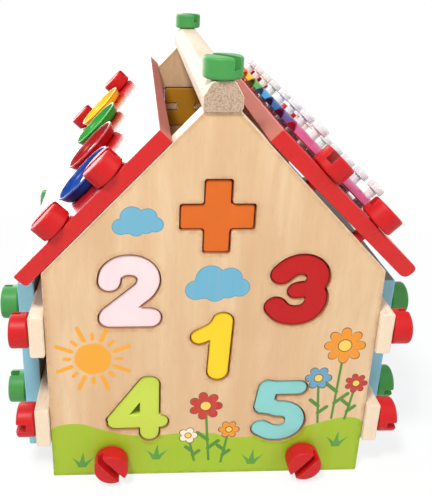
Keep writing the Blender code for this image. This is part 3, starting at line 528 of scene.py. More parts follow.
def finish_piece(name, mesh, material, slot, node, body="house", smooth=35):
    close_up(mesh)
    mesh.materials.clear()
    mesh.materials.append(material)
    for face in mesh.polygons:
        face.material_index = 0
    mesh.shade_smooth()
    mesh.set_sharp_from_angle(angle=math.radians(smooth))
    rough_piece = show("rough", mesh)
    rough_piece.modifiers.new("weigh", "WEIGHTED_NORMAL").keep_sharp = True
    made = show(name, plain(rough_piece))
    made.data.name = name
    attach(made, body)
    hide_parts(node)


print("helpers ready")

# %% [markdown]
# ## Boards
# The walls, battens, floor, ridge beam and roofs are sawn boards. Each is an
# outline with rounded corners, pushed along the house. A bar of plain boxes
# would have knife edges, which no sanded toy has, so a Bevel modifier eases
# the cut ends too. It only works on edges sharper than its angle, so the
# steps of a rounded corner are left alone.

# %% Board tools
def round_outline(corners, radii, steps=6):
    outline = []
    count = len(corners)
    for i in range(count):
        here = Vector(corners[i])
        radius = radii[i] if isinstance(radii, tuple) else radii
        before = (Vector(corners[i - 1]) - here).normalized()
        after = (Vector(corners[(i + 1) % count]) - here).normalized()
        half = before.angle(after) / 2
        start = here + before * radius / math.tan(half)
        end = here + after * radius / math.tan(half)
        centre = here + (before + after).normalized() * radius / math.sin(half)
        turn = (start - centre).angle_signed(end - centre)
        for k in range(steps + 1):
            arm = (start - centre).copy()
            arm.rotate(Matrix.Rotation(-turn * k / steps, 2))
            outline.append(centre + arm)
    return outline


def box_outline(x0, x1, z0, z1):
    return [(x0, z0), (x1, z0), (x1, z1), (x0, z1)]


def board(outline, reach, ease, place=Matrix.Identity(4)):
    # From -reach to reach along the house.
    work = bmesh.new()
    low, high = ([work.verts.new((*p, y)) for p in outline] for y in (-reach, reach))
    for i in range(len(low)):
        j = (i + 1) % len(low)
        work.faces.new((low[i], low[j], high[j], high[i]))
    work.faces.new(low[::-1])
    work.faces.new(high)
    mesh = bpy.data.meshes.new("board")
    bmesh.ops.recalc_face_normals(work, faces=work.faces)
    work.to_mesh(mesh)
    work.free()
    made = show("board", mesh)
    soften = made.modifiers.new("soften", "BEVEL")
    soften.width = ease
    soften.segments = 3
    soften.limit_method = "ANGLE"
    soften.angle_limit = math.radians(60)
    return plain(made, place @ LYING)


print("board tools ready")

# %% [markdown]
# ## How a material is put together
# Every finish is built the same way. It takes the place of each point, asks
# the shared groups for grain, handling and worn edges, lays coats of colour
# over each other, and gives the result to the shader with a faint bump. These
# helpers are the steps, so that a finish is a short list of its own numbers.

# %% Material tools
def mapped(place, way, value):
    # The place scaled or rotated.
    return place_node(place.id_data, "ShaderNodeMapping", {"Vector": place, way: value}).outputs["Vector"]


def start_material(name):
    made = bpy.data.materials.new(name)
    made.use_nodes = True
    return made, place_node(made.node_tree, "ShaderNodeTexCoord").outputs["Object"]


def dress(height, strength, distance, **values):
    # Wires the material's shader, and its normal to a bump of the given height.
    tree = height.socket.id_data
    bump = place_node(tree, "ShaderNodeBump", {"Height": height, "Strength": strength, "Distance": distance})
    for label, value in {"Normal": bump.outputs["Normal"], **values}.items():
        wire(value, tree.nodes["Principled BSDF"].inputs[label.replace("_", " ")])


def grain_of(place, scale):
    node = place_tree(place.id_data, grain_tree, Vector=mapped(place, "Scale", scale))
    return numbers(node, *GRAIN, "Height")


def handled(place, base, spread):
    node = place_tree(place.id_data, handling_tree, Vector=place, Base=base, Spread=spread)
    return numbers(node, "Roughness", "Height", "Shade")


# A mask near edges: worn paint on most finishes, a painted shade on the plywood and a painted highlight on
# the dishes' rims
def near_edges(place, width, amount):
    node = place_tree(place.id_data, edge_tree, Vector=place, Width=width, Amount=amount)
    return Number(node.outputs["Mask"])


def layered(tone, *coats):
    # Each coat is a share and a colour, laid over what is there.
    for share, colour in coats:
        tone = blend_colour(share, tone, colour)
    return tone


print("material tools ready")

# %% [markdown]
# ## Wood finishes
# The gables and the floor have warm varnished plywood with broad soft patches,
# a paler tone where the sheet is cut, a browner painted shade inside the sawn
# holes, and the print laid over it. A painted shade also darkens it a little
# along its edges and round its holes, where the roofs and the shapes shade it.
# The beam and battens are bare, paler, and show dark specks on their end grain.
# Both are the one grain group with other colours, chosen by the way a face
# looks, because a sawn edge shows other wood than the face does.

# %% Varnished and bare wood
def face_way(place):
    return position(place_node(place.id_data, "ShaderNodeNewGeometry").outputs["Normal"])


def facing_y(place):
    # 1 on faces that look along the house, 0 on faces that look aside, up or down.
    return stretch(face_way(place)[1].size(), 0.80, 0.98)


# Where the slopes would meet, a little low, and how far in the holes' edges start
TIP, HOLES_FROM = APEX + 0.005, (0.007, 0.011)


def in_hole(place):
    # 1 well inside a gable's outline, where only the cut holes have edges.
    across, _, upward = position(place)
    from_slope = TIP - upward - across.size() * math.tan(SLOPE)
    return stretch(from_slope.min(upward).min(HALF_WIDTH - across.size()), *HOLES_FROM)


UPRIGHT_GRAIN, LONG_GRAIN = (1.0, 1.0, 0.07), (1.0, 0.07, 1.0)
# The colours for inside the holes and for near the edges are painted shades
VENEER = {
    "pale": paint(233, 203, 164), "warm": paint(216, 176, 132), "streak": paint(208, 166, 122),
    "patch": paint(211, 171, 132), "pore": paint(170, 124, 84), "cut": paint(240, 224, 198),
    "hole": paint(176, 132, 96), "ink streak": paint(214, 174, 128), "painted edge shade": paint(206, 178, 156),
}
BARE = {"pale": paint(246, 232, 212), "warm": paint(232, 208, 182), "streak": paint(214, 184, 152),
        "pore": paint(150, 112, 84), "fleck": paint(112, 84, 68)}


def varnished_plywood(name, printed=False, turned=False):
    made, place = start_material(name)
    figure, streaks, pores, height = grain_of(place, UPRIGHT_GRAIN)
    patches = pattern(mapped(place, "Scale", (1.0, 1.0, 0.30)), 48, 4.0, 0.62, 0.7, 0.36, 0.64)
    tone = layered(VENEER["pale"], (figure, VENEER["warm"]), (streaks * 0.34, VENEER["streak"]),
                   (patches * 0.55, VENEER["patch"]), (pores * 0.26, VENEER["pore"]))
    # The browner colour inside the sawn holes is a painted shade for those recesses
    cut = blend_colour(in_hole(place), VENEER["cut"], VENEER["hole"])
    tone = blend_colour(facing_y(place), cut, tone)
    if printed:
        drawing = mapped(place, "Rotation", (0.0, 0.0, math.pi if turned else 0.0))
        picture = place_tree(place.id_data, print_tree, Vector=drawing)
        ink = blend_colour(streaks * 0.10, picture.outputs["Colour"], VENEER["ink streak"])
        tone = blend_colour(Number(picture.outputs["Mask"]) * 0.96, tone, ink)
    # A painted shade: the wood darkens near its edges and round its holes, where the roofs and the shapes
    # shade it
    tone = blend_colour(near_edges(place, 0.0050, 0.75), tone, VENEER["painted edge shade"], "MULTIPLY")
    dress(height, 0.25, 0.0001, Base_Color=tone, Roughness=handled(place, 0.42, 0.14)[0],
          Specular_IOR_Level=0.25)
    return made


def bare_wood(name, end_colour, flecks):
    made, place = start_material(name)
    figure, streaks, pores, height = grain_of(place, LONG_GRAIN)
    tone = layered(BARE["pale"], (figure, BARE["warm"]), (streaks * 0.5, BARE["streak"]),
                   (pores * 0.55, BARE["pore"]))
    fleck = pattern(place, 1500, 2.0, 0.7, 0.0, 0.46, 0.66)
    cut_end = blend_colour(fleck * flecks, end_colour, BARE["fleck"])
    tone = blend_colour(facing_y(place), tone, cut_end)
    dress(height, 0.4, 0.00015, Base_Color=tone, Roughness=handled(place, 0.62, 0.12)[0],
          Specular_IOR_Level=0.2)
    return made


WOOD = {
    "floor": varnished_plywood("varnished plywood"),
    "front": varnished_plywood("printed plywood front", printed=True),
    "back": varnished_plywood("printed plywood back", printed=True, turned=True),
    "bare": bare_wood("bare wood", paint(240, 218, 190), 0.10),
    "beam": bare_wood("bare wood with dark flecks", paint(198, 172, 148), 0.65),
}
print("wood finishes", sorted(WOOD))

# %% [markdown]
# ## Painted boards
# The roofs and walls are painted, so the grain only shows as a faint relief
# and as pale wood on worn edges. The roofs have a glossy clear coat. Their
# edges along the ridge have thin dull paint. The walls' tops and inner faces
# have none, and the dark grey-olive they get is a painted shade for the
# shadow under the roofs. Where that is comes from the way a face looks,
# because the two sides of the house mirror each other.

# %% Painted boards
def tinted(colour, strength, lift=0.0):
    # Deeper with a strength below 1, paler with a lift.
    return tuple(min(1.0, channel * strength + lift) for channel in colour[:3]) + (1.0,)


def facing_inward(place):
    # How far a face looks towards the middle plane of the house, and how far it looks up.
    across, _, upward = face_way(place)
    return across * position(place)[0].work("SIGN") * -1.0, upward


# A dark grey-olive for the walls' tops and inner faces: a painted shade for the shadow under the roofs
PAINTED_SHADE_UNDER_ROOF = paint(104, 102, 80)


def painted_board(name, colour, pale, gloss, coat, thin=0.0, bare=0.0):
    made, place = start_material(name)
    pores, height = grain_of(place, LONG_GRAIN)[2:]
    rough, _, shade = handled(place, gloss, 0.10)
    inward, upward = facing_inward(place)
    ridge = stretch(inward, 0.3, 0.6) * stretch(upward, 0.2, 0.5)
    # The last coat, by the share bare, is the painted shade on the walls' tops and inner faces
    tone = layered(colour, (shade * 0.5, tinted(colour, 0.86)), (pores * 0.10, pale),
                   (near_edges(place, 0.0007, 0.5), pale), (ridge * thin, pale),
                   (stretch(inward.max(upward), 0.85, 0.95) * bare, PAINTED_SHADE_UNDER_ROOF))
    dress(height, 0.35, 0.0001, Base_Color=tone, Roughness=rough + ridge * thin * 0.6,
          Coat_Weight=(1 - ridge) * coat, Specular_IOR_Level=0.25, Coat_IOR=1.33, Coat_Roughness=0.18)
    return made


WOOD["red"] = painted_board("red board", paint(208, 24, 24), paint(184, 126, 108), 0.28, 0.5, thin=0.75)
# bare=0.9 lays the painted shade on the walls' tops and inner faces
WOOD["blue"] = painted_board(
    "grey-blue board", paint(145, 204, 224), paint(200, 205, 200), 0.45, 0.0, bare=0.9)
print("painted boards", WOOD["red"].name, "and", WOOD["blue"].name)

# %% [markdown]
# ## Moulded and painted finishes
# Bolts and dishes are moulded plastic: one even colour with a very slight
# orange-peel. The bolts are satin, the dishes glossy with a painted highlight
# on their rims. The number shapes are dipped in thick paint that leaves pale
# rims where it has rubbed off. The xylophone keys are bent steel with enamel,
# so they get a clear coat over the colour, and their cut ends get a painted
# shade and are dull. The caps of the pins are milky plastic that lets some
# light through.

# %% Plastic, paint and enamel
def moulded_plastic(name, colour, gloss=0.42, edges=0.30):
    made, place = start_material(name)
    rough, peel, shade = handled(place, gloss, 0.10)
    tone = layered(colour, (shade * 0.45, tinted(colour, 0.82)),
                   (near_edges(place, 0.0005, edges), tinted(colour, 0.6, 0.4)))
    dress(peel, 0.10, 0.0001, Base_Color=tone, Roughness=rough, Specular_IOR_Level=0.2)
    return made


def rim_highlight_plastic(name, colour):
    # A painted highlight: the rounded rim of a dish gets a paler colour.
    return moulded_plastic(name, colour, gloss=0.28, edges=0.9)


def dipped_paint(name, colour):
    made, place = start_material(name)
    height = grain_of(place, (1.0, 1.0, 0.12))[3]
    rough, peel, shade = handled(place, 0.42, 0.14)
    tone = layered(colour, (shade * 0.5, tinted(colour, 0.88)),
                   (near_edges(place, 0.0005, 0.35), tinted(colour, 0.5, 0.45)))
    dress(height * 0.5 + peel * 0.5, 0.22, 0.0001, Base_Color=tone, Roughness=rough,
          Specular_IOR_Level=0.22)
    return made


def enamel(name, colour):
    made, place = start_material(name)
    rough, peel, shade = handled(place, 0.32, 0.12)
    bared = near_edges(place, 0.0003, 0.12)
    inward, upward = facing_inward(place)
    cut_end = stretch(inward, 0.4, 0.6) * stretch(upward, 0.3, 0.5)
    # The keys' cut ends get a deep tone of their enamel, a painted shade
    tone = layered(colour, (shade * 0.5, tinted(colour, 0.8)), (bared, paint(190, 190, 192)),
                   (cut_end * 0.6, tinted(colour, 0.3)))
    dress(peel, 0.12, 0.0001, Base_Color=tone, Metallic=bared * 0.8, Roughness=rough + cut_end * 0.6,
          Coat_Weight=(1 - cut_end) * 0.25, Specular_IOR_Level=0.25, Coat_Roughness=0.08)
    return made


def milky_plastic(name):
    made, place = start_material(name)
    rough, peel, shade = handled(place, 0.30, 0.14)
    tone = blend_colour(shade, paint(250, 248, 247), paint(236, 230, 230))
    dress(peel, 0.10, 0.0001, Base_Color=tone, Roughness=rough, Transmission_Weight=0.25)
    return made


INSERT_PAINT = {
    "orange": paint(220, 106, 32), "pale_pink": paint(250, 222, 224), "yellow": paint(252, 212, 42),
    "red": paint(192, 24, 24), "lime": paint(200, 218, 82), "turquoise": paint(142, 210, 206),
    "ochre": paint(194, 136, 36), "violet": paint(126, 84, 160), "light_blue": paint(74, 158, 216),
    "leaf_green": paint(80, 172, 66),
}
PLASTIC = {"red": paint(202, 30, 32), "green": paint(76, 156, 80)}
DISH_PLASTIC = {
    "dark_blue": paint(8, 70, 158), "red": paint(176, 16, 24), "leaf_green": paint(54, 168, 60),
    "yellow": paint(254, 212, 40),
}
ENAMEL = {
    "pink": paint(208, 80, 132), "violet": paint(96, 60, 140), "dark_blue": paint(24, 88, 152),
    "light_blue": paint(62, 158, 216), "leaf_green": paint(88, 166, 66), "yellow": paint(248, 188, 32),
    "orange": paint(230, 88, 36), "red": paint(190, 28, 30),
}
for colours, finish, word in ((INSERT_PAINT, dipped_paint, "paint"), (PLASTIC, moulded_plastic, "plastic"),
                              (DISH_PLASTIC, rim_highlight_plastic, "dish plastic"), (ENAMEL, enamel, "enamel")):
    for label, colour in colours.items():
        colours[label] = finish(label.replace("_", " ") + " " + word, colour)
MILKY = milky_plastic("milky plastic")
print(len(bpy.data.materials), "materials")

# %% [markdown]
# ## Roofs, walls, battens, floor and beam
# The two roofs lie on the slopes of the gables, and the right one stands off a
# little at its eave. The walls stand on the ground, outside the battens. The
# beam is a bar with its top corners planed off, which leaves a slot of light
# on each side of the ridge. All are the same tool with other outlines.

# %% Make the boards
def bar(name, node, wood, slot, corners, reach, rounded, ease=0.0009, place=Matrix.Identity(4)):
    finish_piece(name, board(round_outline(corners, rounded), reach, ease, place), WOOD[wood], slot, node)


ROOF_LENGTH, ROOF_CORNER = 0.112, 0.0008
ROOF_EAVES = {-1: (0.0024, 0.0012), 1: (0.0042, 0.0030)}
for side, side_name in SIDES.items():
    bar(side_name + "_roof_board", side_name + "_roof", "red", "red_board",
        box_outline(0, ROOF_LENGTH, -ROOF_THICKNESS, 0), HALF_DEPTH, ease=0.0007, place=roof_frame(side),
        rounded=(ROOF_CORNER, *ROOF_EAVES[side], ROOF_CORNER))

BATTEN, BATTEN_HALF, BATTEN_REACH = 0.0084, 0.013, 0.1222
WALL, WALL_TOP, WALL_REACH = 0.010, 0.1178, 0.093
BATTEN_IN = HALF_WIDTH + GAP
WALL_IN = BATTEN_IN + BATTEN + GAP
LEVELS = {"lower": 0.0375, "upper": 0.0995}
for side, side_name in SIDES.items():
    span = sorted((side * WALL_IN, side * (WALL_IN + WALL)))
    bar(side_name + "_wall_board", side_name + "_wall", "blue", "grey_blue_board",
        box_outline(*span, 0, WALL_TOP), WALL_REACH, rounded=0.0012)
    span = sorted((side * BATTEN_IN, side * (BATTEN_IN + BATTEN)))
    for level_name, middle in LEVELS.items():
        node = f"{side_name}_{level_name}_batten"
        bar(node + "_bar", node, "bare", "bare_wood",
            box_outline(*span, middle - BATTEN_HALF, middle + BATTEN_HALF), BATTEN_REACH, rounded=0.0014)

FLOOR_MIDDLE, FLOOR_HALF, FLOOR_REACH = 0.0135, 0.006, 0.1067
bar("floor_panel", "floor_board", "floor", "varnished_wood",
    box_outline(-HALF_WIDTH, HALF_WIDTH, FLOOR_MIDDLE - FLOOR_HALF, FLOOR_MIDDLE + FLOOR_HALF),
    FLOOR_REACH, rounded=0.0012, ease=0.0008)

BEAM_HALF, BEAM_FLAT, BEAM_REACH = 0.010, 0.00575, 0.1216
BEAM_LOW = APEX + GAP
BEAM_EDGE, BEAM_TOP = BEAM_LOW + 0.0075, BEAM_LOW + 0.015
bar("ridge_bar", "ridge_beam", "beam", "bare_wood",
    ((-BEAM_HALF, BEAM_LOW), (BEAM_HALF, BEAM_LOW), (BEAM_HALF, BEAM_EDGE), (BEAM_FLAT, BEAM_TOP),
     (-BEAM_FLAT, BEAM_TOP), (-BEAM_HALF, BEAM_EDGE)),
    BEAM_REACH, rounded=(0.0024, 0.0024, 0.0030, 0.0024, 0.0024, 0.0030), ease=0.0007)

# %% [markdown]
# ## Gables and number shapes
# A gable is a plate sawn with a thin blade, and the number shapes are the
# cut-outs, so hole and shape must match. They could be drawn anew, but the
# plain solids know them already, so the outlines are read from their flat
# faces. Each one starts at its lowest point, and every run gives the same mesh.

# %% Outlines of the plain solids
def area(loop):
    return sum(a.x * b.y - b.x * a.y for a, b in zip(loop, loop[1:] + loop[:1])) / 2


def in_order(loop):
    # Anticlockwise from its lowest point.
    if area(loop) < 0:
        loop = loop[::-1]
    first = min(range(len(loop)), key=lambda i: (round(loop[i].y, 6), loop[i].x))
    return loop[first:] + loop[:first]


def thin_out(loop, near=0.00012):
    kept = [loop[0]]
    for point in loop[1:]:
        if (point - kept[-1]).length > near:
            kept.append(point)
    if (kept[0] - kept[-1]).length < near:
        kept.pop()
    return kept


def face_loops(node, level):
    # The closed outlines of a solid's flat face at y = level, as (x, z) points.
    work = bmesh.new()
    work.from_mesh(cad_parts[node].data)
    bmesh.ops.remove_doubles(work, verts=work.verts, dist=0.00001)
    flat = {f for f in work.faces
            if abs(f.normal.y) > 0.999 and abs(f.calc_center_median().y - level) < 0.00002}
    rim = {e for e in work.edges if sum(f in flat for f in e.link_faces) == 1}
    loops = []
    while rim:
        edge = rim.pop()
        first, here = edge.verts
        loop = [first.co.xz, here.co.xz]
        while here is not first:
            edge = next(e for e in here.link_edges if e in rim)
            rim.remove(edge)
            here = edge.other_vert(here)
            loop.append(here.co.xz)
        loops.append(thin_out(in_order(loop[:-1])))
    work.free()
    return sorted(loops, key=lambda l: (-abs(area(l)), *l[0]))


print("outlines of the front gable", len(face_loops("front_gable", -HALF_DEPTH)))

# %% [markdown]
# ## Sawn plates
# The outlines have short straight steps. A Bezier curve through the same
# points, with handles along the local direction, turns the steps into round
# sweeps and keeps true corners sharp. A 2D curve fills itself, makes holes of
# inner outlines, and rounds its edges with its bevel.

# %% Plate tools
# Turns above this are true corners. A handle's length, as a share of its step
CORNER, HANDLE = math.radians(50), 0.34
# A step this many times longer than its neighbour is a straight side
LONG_STEP = 3


def add_sweep(curve, loop):
    line = curve.splines.new("BEZIER")
    line.bezier_points.add(len(loop) - 1)
    line.use_cyclic_u = True
    line.resolution_u = 4
    for i, here in enumerate(loop):
        back, on = here - loop[i - 1], loop[(i + 1) % len(loop)] - here
        way_in, way_out = back.normalized(), on.normalized()
        if abs(way_in.angle(way_out)) < CORNER:
            if back.length > LONG_STEP * on.length:
                way_out = way_in
            elif on.length > LONG_STEP * back.length:
                way_in = way_out
            else:
                way_in = way_out = (way_in * on.length + way_out * back.length).normalized()
        point = line.bezier_points[i]
        point.handle_left_type = point.handle_right_type = "FREE"
        point.co = (*here, 0)
        point.handle_left = (*(here - way_in * back.length * HANDLE), 0)
        point.handle_right = (*(here + way_out * on.length * HANDLE), 0)


def plate(loops, near, far, ease):
    # A plate between y = near and y = far with rounded edges. Its holes run clockwise.
    curve = bpy.data.curves.new("plate", "CURVE")
    curve.dimensions = "2D"
    curve.fill_mode = "BOTH"
    for index, loop in enumerate(loops):
        add_sweep(curve, loop if (area(loop) > 0) == (index == 0) else loop[::-1])
    curve.extrude = (far - near) / 2 - ease
    curve.bevel_depth = ease
    curve.bevel_resolution = 2
    curve.offset = -ease
    return plain(show("plate", curve), Matrix.Translation((0, (near + far) / 2, 0)) @ LYING)


print("plate tools ready")

# %% [markdown]
# ## The two gables and their shapes
# Six holes are sawn in each gable. The shapes that fill them are painted and
# lie loose, a little behind the face, so a thin shadow runs round each one.
# The edges of the shapes are rounder than those of the plates.

# %% Make the gables and the number shapes
SHAPES = {
    -1: {"plus": "orange", "one": "yellow", "two": "pale_pink", "three": "red", "four": "lime",
         "five": "turquoise"},
    1: {"equals": "ochre", "six": "violet", "seven": "light_blue", "eight": "leaf_green",
        "nine": "orange", "zero": "red"},
}
RECESS = 0.0012
for end, name in ENDS.items():
    face, inner = end * HALF_DEPTH, end * (HALF_DEPTH - GABLE)
    mesh = plate(face_loops(name + "_gable", face), *sorted((face, inner)), ease=0.0005)
    finish_piece(name + "_gable_plate", mesh, WOOD[name], "varnished_wood", name + "_gable")
    for shape, colour in SHAPES[end].items():
        node = "insert_" + shape
        rear = inner + end * GAP
        mesh = plate(face_loops(node, rear), *sorted((face - end * RECESS, rear)), ease=0.0007)
        finish_piece(shape + "_shape", mesh, INSERT_PAINT[colour], colour + "_insert", node, body=node)

# %% [markdown]
# ## Turning a profile into a solid
# Bolts, dishes, pins and posts are all round, as if turned on a lathe. Spin in
# edit mode could do it, but a small node tree can be reused with other sizes.
# It takes a profile, a chain of points with the radius in X and the height in
# Z, and wraps a grid round the axis: one side of the grid counts the angle,
# the other looks up the profile's points by number. Merging what lies on the
# axis closes the poles and the seam.

# %% Turning tree
MERGE = 0.000001


def vector(tree, x, y, z):
    return place_node(tree, "ShaderNodeCombineXYZ", {"X": x, "Y": y, "Z": z}).outputs[0]


def form(tree, kind, values=None, **settings):
    # Places a geometry node and returns its first output.
    return place_node(tree, "GeometryNode" + kind, values, **settings).outputs[0]


def end_tree(tree, given, out, geometry):
    # Each tree ends in real geometry that carries its material.
    real = form(tree, "RealizeInstances", {"Geometry": geometry})
    faced = form(tree, "SetMaterial", {"Geometry": real, "Material": given.outputs["Finish"]})
    give(out, Solid=faced)


SOLID = {"Solid": "Geometry"}
turn_tree, turn_in, turn_out = new_tree(
    "Turned piece", "Geometry", {"Profile": "Geometry", "Segments": 48, "Finish": "Material"}, SOLID)
profile = turn_in.outputs["Profile"]
points = Number(form(turn_tree, "AttributeDomainSize", {"Geometry": profile}))
wrap = form(turn_tree, "MeshGrid", {
    "Size X": 1.0, "Size Y": 1.0, "Vertices Y": points,
    "Vertices X": Number(turn_in.outputs["Segments"]) + 1})
at = form(turn_tree, "InputPosition")
grid_x, grid_y, _ = position(at)
angle = (grid_x + 0.5) * math.tau
row = ((grid_y + 0.5) * (points - 1)).work("ROUND")
look = form(turn_tree, "SampleIndex", {"Geometry": profile, "Value": at, "Index": row},
            data_type="FLOAT_VECTOR")
radius, _, height = position(look)
rim = vector(turn_tree, radius * angle.work("COSINE"), radius * angle.work("SINE"), height)
placed = form(turn_tree, "SetPosition", {"Geometry": wrap, "Position": rim})
joined = form(turn_tree, "MergeByDistance", {"Geometry": placed, "Distance": MERGE})
end_tree(turn_tree, turn_in, turn_out, joined)


def turned_piece(tree, given):
    # The turning tree inside another one, fed by that one's inputs of the same names.
    shared = {label: given.outputs[label] for label in ("Profile", "Segments", "Finish")}
    return form(tree, "Group", shared, node_tree=turn_tree)


def profile_mesh(points):
    mesh = bpy.data.meshes.new("profile")
    mesh.from_pydata([(r, 0, z) for r, z in points], [(i, i + 1) for i in range(len(points) - 1)], [])
    return mesh


def run_tree(tree, mesh, place=None, **values):
    # Runs a node tree on a mesh and returns the plain result.
    worker = show("worker", mesh)
    step = worker.modifiers.new("nodes", "NODES")
    step.node_group = tree
    keys = {item.name: item.identifier for item in tree.interface.items_tree if item.in_out == "INPUT"}
    for label, value in values.items():
        step[keys[label.replace("_", " ")]] = value
    return plain(worker, place)


def arc(cx, cz, radius, start, end, steps=4):
    # Points of a rounded corner of a profile, angles in degrees.
    turns = [math.radians(start + (end - start) * k / steps) for k in range(steps + 1)]
    return [(cx + radius * math.cos(a), cz + radius * math.sin(a)) for a in turns]


print("turning tree", len(turn_tree.nodes), "nodes")

# %% [markdown]
# ## Slotted toy bolts
# The bolts have big round heads that a child turns with a wooden driver, so
# the slot is wide and deep. The tree turns the profile and then cuts a block
# out of the head with a Mesh Boolean node. Its inputs are the slot's size and
# turn, because each bolt in the picture stopped at another angle. The sharp
# edges that the cut leaves are eased afterwards, as a mould would.

# %% Bolt tree
HEAD_RADIUS, HEAD_HEIGHT, SHANK_RADIUS, SHANK_EASE = 0.010, 0.011, 0.0035, 0.0005
SLOT_WIDTH, SLOT_DEPTH, HEAD_SEGMENTS = 0.0046, 0.0062, 56
bolt_tree, bolt_in, bolt_out = new_tree(
    "Slotted bolt", "Geometry",
    {"Profile": "Geometry", "Segments": HEAD_SEGMENTS, "Finish": "Material", "Head Radius": HEAD_RADIUS,
     "Head Height": HEAD_HEIGHT, "Slot Width": SLOT_WIDTH, "Slot Depth": SLOT_DEPTH, "Turn": 0.0}, SOLID)
head, tall, slot_wide, slot_deep, turn = numbers(
    bolt_in, "Head Radius", "Head Height", "Slot Width", "Slot Depth", "Turn")
cutter = form(bolt_tree, "Transform", {
    "Geometry": form(bolt_tree, "MeshCube", {"Size": vector(bolt_tree, head * 3, slot_wide, slot_deep * 2)}),
    "Translation": vector(bolt_tree, 0.0, 0.0, tall), "Rotation": vector(bolt_tree, 0.0, 0.0, turn)})


def cut_out(tree, solid, cutter):
    return form(tree, "MeshBoolean", {"Mesh 1": solid, "Mesh 2": cutter}, operation="DIFFERENCE",
                solver="EXACT")


end_tree(bolt_tree, bolt_in, bolt_out, cut_out(bolt_tree, turned_piece(bolt_tree, bolt_in), cutter))


def ease_edges(mesh, width):
    # Rounds the outward sharp edges of a cut mesh.
    close_up(mesh, flat=math.radians(0.5))
    work = bmesh.new()
    work.from_mesh(mesh)
    keen = [e for e in work.edges if len(e.link_faces) == 2 and e.is_convex
            and e.calc_face_angle() > math.radians(50)]
    bmesh.ops.bevel(work, geom=keen, offset=width, segments=2, profile=0.5, affect="EDGES",
                    clamp_overlap=True)
    work.to_mesh(mesh)
    work.free()


def bolt(node, place, shank, colour, turn, fixed=None):
    # A fixed bolt is one solid with its node. Its name is given, and it doesn't turn.
    r, h, s, e = HEAD_RADIUS, HEAD_HEIGHT, SHANK_RADIUS, SHANK_EASE
    outline = ([(0, -shank), (s - e, -shank), (s, -shank + e), (s, 0)]
               + [(r - 0.0022, 0), (r - 0.0012, 0.0002)] + arc(r - 0.0012, 0.0016, 0.0012, -60, 0, 3)
               + arc(r - 0.0014, h - 0.0016, 0.0014, 0, 80, 5) + [(r - 0.004, h - 0.00006), (0, h)])
    mesh = run_tree(bolt_tree, profile_mesh(outline), Segments=HEAD_SEGMENTS, Finish=PLASTIC[colour],
                    Head_Radius=r, Head_Height=h, Slot_Width=SLOT_WIDTH, Slot_Depth=SLOT_DEPTH,
                    Turn=math.radians(turn))
    ease_edges(mesh, width=0.00035)
    mesh.transform(spot(place, 0, 0, GAP))
    finish_piece(fixed or node + "_head", mesh, PLASTIC[colour], colour + "_bolt", node,
                 body="house" if fixed else node, smooth=38)


print("bolt tree", len(bolt_tree.nodes), "nodes")

# %% [markdown]
# ## Driving the bolts in
# Four bolts hold each roof to the gables, four hold each pair of battens, four
# hold the floor and two the beam, and green ones hold the walls to the
# battens. Each place is a frame on the surface that the head rests on, and
# each bolt has the turn, in degrees, at which it stopped.

# %% Make the bolts
ROOF_PLACES = {"upper": 0.0355, "lower": 0.0765}
SHANKS = {"roof": 0.021, "wall": 0.0284, "green": 0.0145, "ridge": 0.033, "floor": 0.035}
GREEN_IN, FLOOR_OUT = 0.038, 0.0575
ROOF_TURNS = {
    ("left", "front", "upper"): 4, ("left", "front", "lower"): -5,
    ("left", "back", "upper"): 14, ("left", "back", "lower"): 8,
    ("right", "front", "upper"): 46, ("right", "front", "lower"): -4,
    ("right", "back", "upper"): 30, ("right", "back", "lower"): 68,
}
WALL_TURNS = {("left", "lower"): 8, ("left", "upper"): 104, ("right", "lower"): 8, ("right", "upper"): 80}
GREEN_TURNS = {("left", "lower"): 90, ("left", "upper"): 104, ("right", "lower"): 15, ("right", "upper"): 50}
RIDGE_TURN, FLOOR_TURN = -50, 50
for side, side_name in SIDES.items():
    for end, end_name in ENDS.items():
        for level_name, down in ROOF_PLACES.items():
            bolt(f"roof_bolt_{side_name}_{end_name}_{level_name}",
                 spot(roof_frame(side), down, end * GABLE_MIDDLE), SHANKS["roof"], "red",
                 ROOF_TURNS[side_name, end_name, level_name])
        for level_name, middle in LEVELS.items():
            place = spot(side_frame(side, BATTEN_IN + BATTEN), side * end * GABLE_MIDDLE, middle)
            bolt(f"wall_bolt_{side_name}_{end_name}_{level_name}", place, SHANKS["wall"], "red",
                 WALL_TURNS[side_name, level_name])
            batten = f"{side_name}_{level_name}_batten"
            place = spot(side_frame(side, WALL_IN + WALL), side * end * (HALF_DEPTH - GREEN_IN), middle)
            bolt(batten, place, SHANKS["green"], "green", GREEN_TURNS[side_name, level_name],
                 fixed=f"{batten}_{end_name}_bolt")
for end, end_name in ENDS.items():
    bolt(f"ridge_bolt_{end_name}", Matrix.Translation((0, end * GABLE_MIDDLE, BEAM_TOP)), SHANKS["ridge"],
         "green", RIDGE_TURN)
    for side in SIDES:
        place = spot(gable_frame(end), side * FLOOR_OUT, FLOOR_MIDDLE)
        bolt(f"floor_bolt_{end_name}_{SIDES[side * -end]}", place, SHANKS["floor"], "red", side * FLOOR_TURN)

# %% [markdown]
# ## Spinning dishes
# Each dish is a shallow pan with a thin rolled rim, loose on a capped post.
# Its profile goes out under the bowl, round the rim and back down inside, so
# the turning tree makes a closed shell with a hole in the middle. A few
# points are enough: a smooth curve is drawn through them first.

# %% Make the dishes
def smooth_path(points, steps=5):
    path = []
    for i in range(len(points) - 1):
        a, b = Vector(points[max(i - 1, 0)]), Vector(points[i])
        c, d = Vector(points[i + 1]), Vector(points[min(i + 2, len(points) - 1)])
        for k in range(steps):
            t = k / steps
            path.append(tuple((b * 2 + (c - a) * t + (a * 2 - b * 5 + c * 4 - d) * t ** 2
                               + (b * 3 - a - c * 3 + d) * t ** 3) / 2))
    return path + [tuple(points[-1])]


